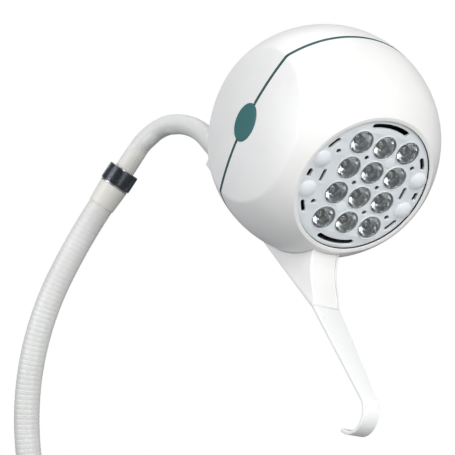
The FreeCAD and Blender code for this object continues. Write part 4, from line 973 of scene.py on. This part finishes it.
root = shift(0, KEEL_TIP[0], KEEL_TIP[1] + 0.3) @ Matrix.Rotation(math.radians(HANDLE_ANGLE), 4, "X")
part(placed(handle, HEAD @ root), "head", handle_coat, "handle_white", "handle_strip")
print("handle is", [round(d / MM, 1) for d in handle.dimensions], "mm")

# %% [markdown]
# ## The collar
# The collar joins the two goosenecks.  A black chrome nut is knurled between two
# plain bands, a cream ferrule holds the lower sleeve below it, and a cream boot
# leaves it above.  The nut's wall is spun, then every other column of points in
# the knurled band is pushed in.

# %% Collar nut
NUT_LOW, NUT_TOP = -7.7, 9.0
NUT_R = 15.0
NUT_BORE_R = 9.8
KNURL_COUNT = 72
KNURL_DEPTH = 0.4
KNURL_LOW, KNURL_HIGH = NUT_LOW + 1.3, NUT_TOP - 1.6
NUT_THREAD_R = 12.6
BAND_R = NUT_R - 0.15
nut_line = [(NUT_THREAD_R, NUT_LOW), (NUT_R - 0.9, NUT_LOW)]
nut_line += arc((NUT_R - 0.7, NUT_LOW + 0.6), 0.55, -90, 0, 3)
nut_line += [(BAND_R, KNURL_LOW - 0.3), (NUT_R, KNURL_LOW)]
nut_line += [(NUT_R, KNURL_HIGH), (BAND_R, KNURL_HIGH + 0.3), (BAND_R, NUT_TOP - 0.9)]
nut_line += arc((NUT_R - 1.0, NUT_TOP - 0.85), 0.85, 0, 90, 5)
nut_line += [(NUT_BORE_R + 0.5, NUT_TOP), (NUT_BORE_R, NUT_TOP - 0.5)]
nut_line += [(NUT_BORE_R, NUT_TOP - 2.5), (NUT_THREAD_R, NUT_TOP - 2.5)]
nut = spun("knurled_nut", nut_line, steps=4 * KNURL_COUNT)
for vertex in nut.data.vertices:
    x, y, z = (c / MM for c in vertex.co)
    column = round(math.atan2(y, x) / math.tau * 4 * KNURL_COUNT) % 4
    in_band = KNURL_LOW - 0.1 < z < KNURL_HIGH + 0.1 and math.hypot(x, y) > NUT_R - 0.1
    if in_band and column in (1, 2):
        share = 1 - KNURL_DEPTH / NUT_R
        vertex.co.x *= share
        vertex.co.y *= share
smooth(nut, 25)
part(nut, "collar_nut", black_chrome, "knurled_chrome", "collar_nut")
# The top rim takes the lighter chrome, a painted highlight where light falls on the nut's top.
nut.data.materials.append(polished_highlight_chrome)
for face in nut.data.polygons:
    if face.center.z > (NUT_TOP - 0.8) * MM:
        face.material_index = 1
placed(nut, COLLAR)

# %% Ferrule below the nut
FERRULE_TOP = -9.3
FERRULE_LOW = FERRULE_TOP - 21.7
ferrule_end = FERRULE_TOP - 0.05
step = FERRULE_LOW + 8
ferrule_line = [(12.1, FERRULE_LOW), (12.45, FERRULE_LOW)]
ferrule_line += arc((12.3, FERRULE_LOW + 0.5), 0.4, -60, 0, 3)
ferrule_line += [(12.8, FERRULE_LOW + 3), (13.2, FERRULE_LOW + 9), (13.6, FERRULE_TOP - 6)]
ferrule_line += [(13.85, FERRULE_TOP - 0.5), (13.6, ferrule_end), (11.0, ferrule_end)]
ferrule_line += [(11.0, step), (12.1, step)]
ferrule = smooth(spun("ferrule_sleeve", ferrule_line, 96), 30)
part(placed(ferrule, COLLAR), "collar", ferrule_pvc, "cream_boot", "collar_ferrule")

# %% Boot above the nut
BOOT_LOW, BOOT_TOP = 5.6, 31.0
boot_line = [(7.3, BOOT_LOW), (9.45, BOOT_LOW), (9.5, NUT_TOP - 1)]
boot_line += [(9.5, NUT_TOP + 6), (9.4, NUT_TOP + 14)]
boot_line += [(9.35, BOOT_TOP - 0.4), (9.15, BOOT_TOP), (7.3, BOOT_TOP)]
boot = smooth(spun("swivel_boot_skin", boot_line, 72), 30)
part(placed(boot, SWIVEL), "swivel", boot_pvc, "cream_boot", "swivel_boot")

# %% [markdown]
# ## The ribbed sleeves
# Each gooseneck wears a ribbed PVC sleeve laid along its bends.  One tube can't
# follow six hinges, so each sleeve is made in lengths, one over each hinge, that
# meet half way between two hinges.


# %% A length of ribbed sleeve
def sleeve_radius(distance, radius, pitch, depth):
    """The radius along the sleeve: round ribs with narrow grooves."""
    phase = (distance / pitch) % 1.0
    groove = abs(math.cos(math.pi * phase)) ** 12
    return radius - depth * groove


def ribbed_sleeve(name, start, stretches, low, high, radius, wall, pitch, depth):
    """A ribbed tube from one distance to another, laid along the arm."""
    rows = max(2, round((high - low) / pitch * 8))
    stations = [low + (high - low) * i / rows for i in range(rows + 1)]
    outline = [(sleeve_radius(s, radius, pitch, depth), s) for s in stations]
    outline += [(radius - wall, high), (radius - wall, low)]
    tube = spun(name, outline, steps=56)
    frames = {}
    for vertex in tube.data.vertices:
        distance = round(vertex.co.z / MM, 3)
        if distance not in frames:
            frames[distance] = along(start, stretches, distance)
        vertex.co = frames[distance] @ Vector((vertex.co.x, vertex.co.y, 0))
    return smooth(tube, 40)


def distance_of(point, start, stretches):
    """How far along the arm a point lies, to a tenth of a millimetre."""
    tenths = range(int(length_of(stretches) * 10) + 1)
    return min(tenths, key=lambda i: (along(start, stretches, i / 10).translation - point).length) / 10


# %% Sleeve both arms
BLEND_INSET = 4.5          # inset from a length's ends for its reach, which changes nothing
BLEND_REACH = 24.0         # how far from its hinge a length's reach goes, which changes nothing
# This hinge's bodies and reach are taken from its upper body down; nothing uses
# them.  The other way round, with every hinge at its upper limit, the turn's pivot
# is lost in rounding.
TOP_FIRST = ["lower_bend_2"]


def sleeve_arm(label, start, stretches, ends):
    """Cover one arm with a length of sleeve over each of its hinges."""
    hinges = [j for j in frame["joints"] if j["name"].startswith(label) and "pos_m" in j]
    places = [distance_of(Vector(j["pos_m"]), start, stretches) for j in hinges]
    between = [(a + b) / 2 for a, b in zip(places, places[1:])]
    cuts = [ends[0]] + between + [ends[1]]
    for i, hinge in enumerate(hinges):
        low, high = cuts[i], cuts[i + 1]
        piece = ribbed_sleeve(f"{label}_sleeve_{i + 1}", start, stretches, low, high,
                              *SLEEVE_SECTIONS[label], *SLEEVE_RIBS[label])
        piece.data.materials.append(sleeve_pvc)
        near = max(low + BLEND_INSET, places[i] - BLEND_REACH)
        far = min(high - BLEND_INSET, places[i] + BLEND_REACH)
        bodies, reach = [hinge["parent"], hinge["child"]], [near, far]
        if hinge["name"] in TOP_FIRST:
            bodies.reverse()
            reach.reverse()
        along(start, stretches, reach[0]).translation
        along(start, stretches, reach[1]).translation
        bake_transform(piece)
        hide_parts(label + "_sleeve")
    print(label, "sleeve in", len(hinges), "lengths, hinges at (mm)", [round(p) for p in places])


BASE_DEPTH = 46.0          # where the lower sleeve starts
FERRULE_GRIP = 7.0         # how far it goes into the ferrule
SLEEVE_SECTIONS = {"lower": (12.0, 1.8), "upper": (9.25, 1.6)}     # outside radius, wall
SLEEVE_RIBS = {"lower": (4.6, 0.24), "upper": (2.6, 0.2)}          # pitch, groove depth
HALF_COLLAR = 9.0
FERRULE_LENGTH = 22.0
ferrule_mouth = length_of(LOWER) - HALF_COLLAR - FERRULE_LENGTH
lower_ends = (BASE_DEPTH, ferrule_mouth + FERRULE_GRIP)
upper_ends = (BOOT_TOP, length_of(UPPER) - 0.3)
sleeve_arm("lower", BASE, LOWER, lower_ends)
sleeve_arm("upper", SWIVEL, UPPER, upper_ends)

# %% [markdown]
# ## Finishes for the parts that stay
# The parts that the frame already shapes well, such as the screws, the boards and
# the heat sink, keep their meshes and only get a true finish.

# %% Finish the remaining parts
finishes = {
    "board_black": solder_mask, "board_green": green_board, "led_yellow": phosphor,
    "holder_grey": holder_nylon, "aluminium": aluminium, "zinc_steel": zinc_steel,
    "screw_steel": screw_steel, "spring_steel": spring_steel, "copper_coil": copper,
    "capacitor_can": capacitor, "terminal_green": terminal_plastic, "bright_steel": base_steel,
    "turned_steel": turned_steel, "nylon": washer_nylon, "cream_boot": boot_pvc,
    "core_steel": spring_steel, "sleeve_grey": sleeve_pvc, "shell_white": shell_abs,
    "keel_white": keel_coat, "handle_white": handle_coat, "teal": gasket_rubber,
    "teal_button": button_abs, "panel_grey": panel_plastic, "cap_white": cap_gloss,
    "clear_lens": acrylic, "knurled_chrome": black_chrome,
}
for subpart in frame["record"]["subparts"]:
    node = frame["nodes"][subpart["node"]]
    node.data.materials.clear()
    node.data.materials.append(finishes[subpart["material_slot"]])
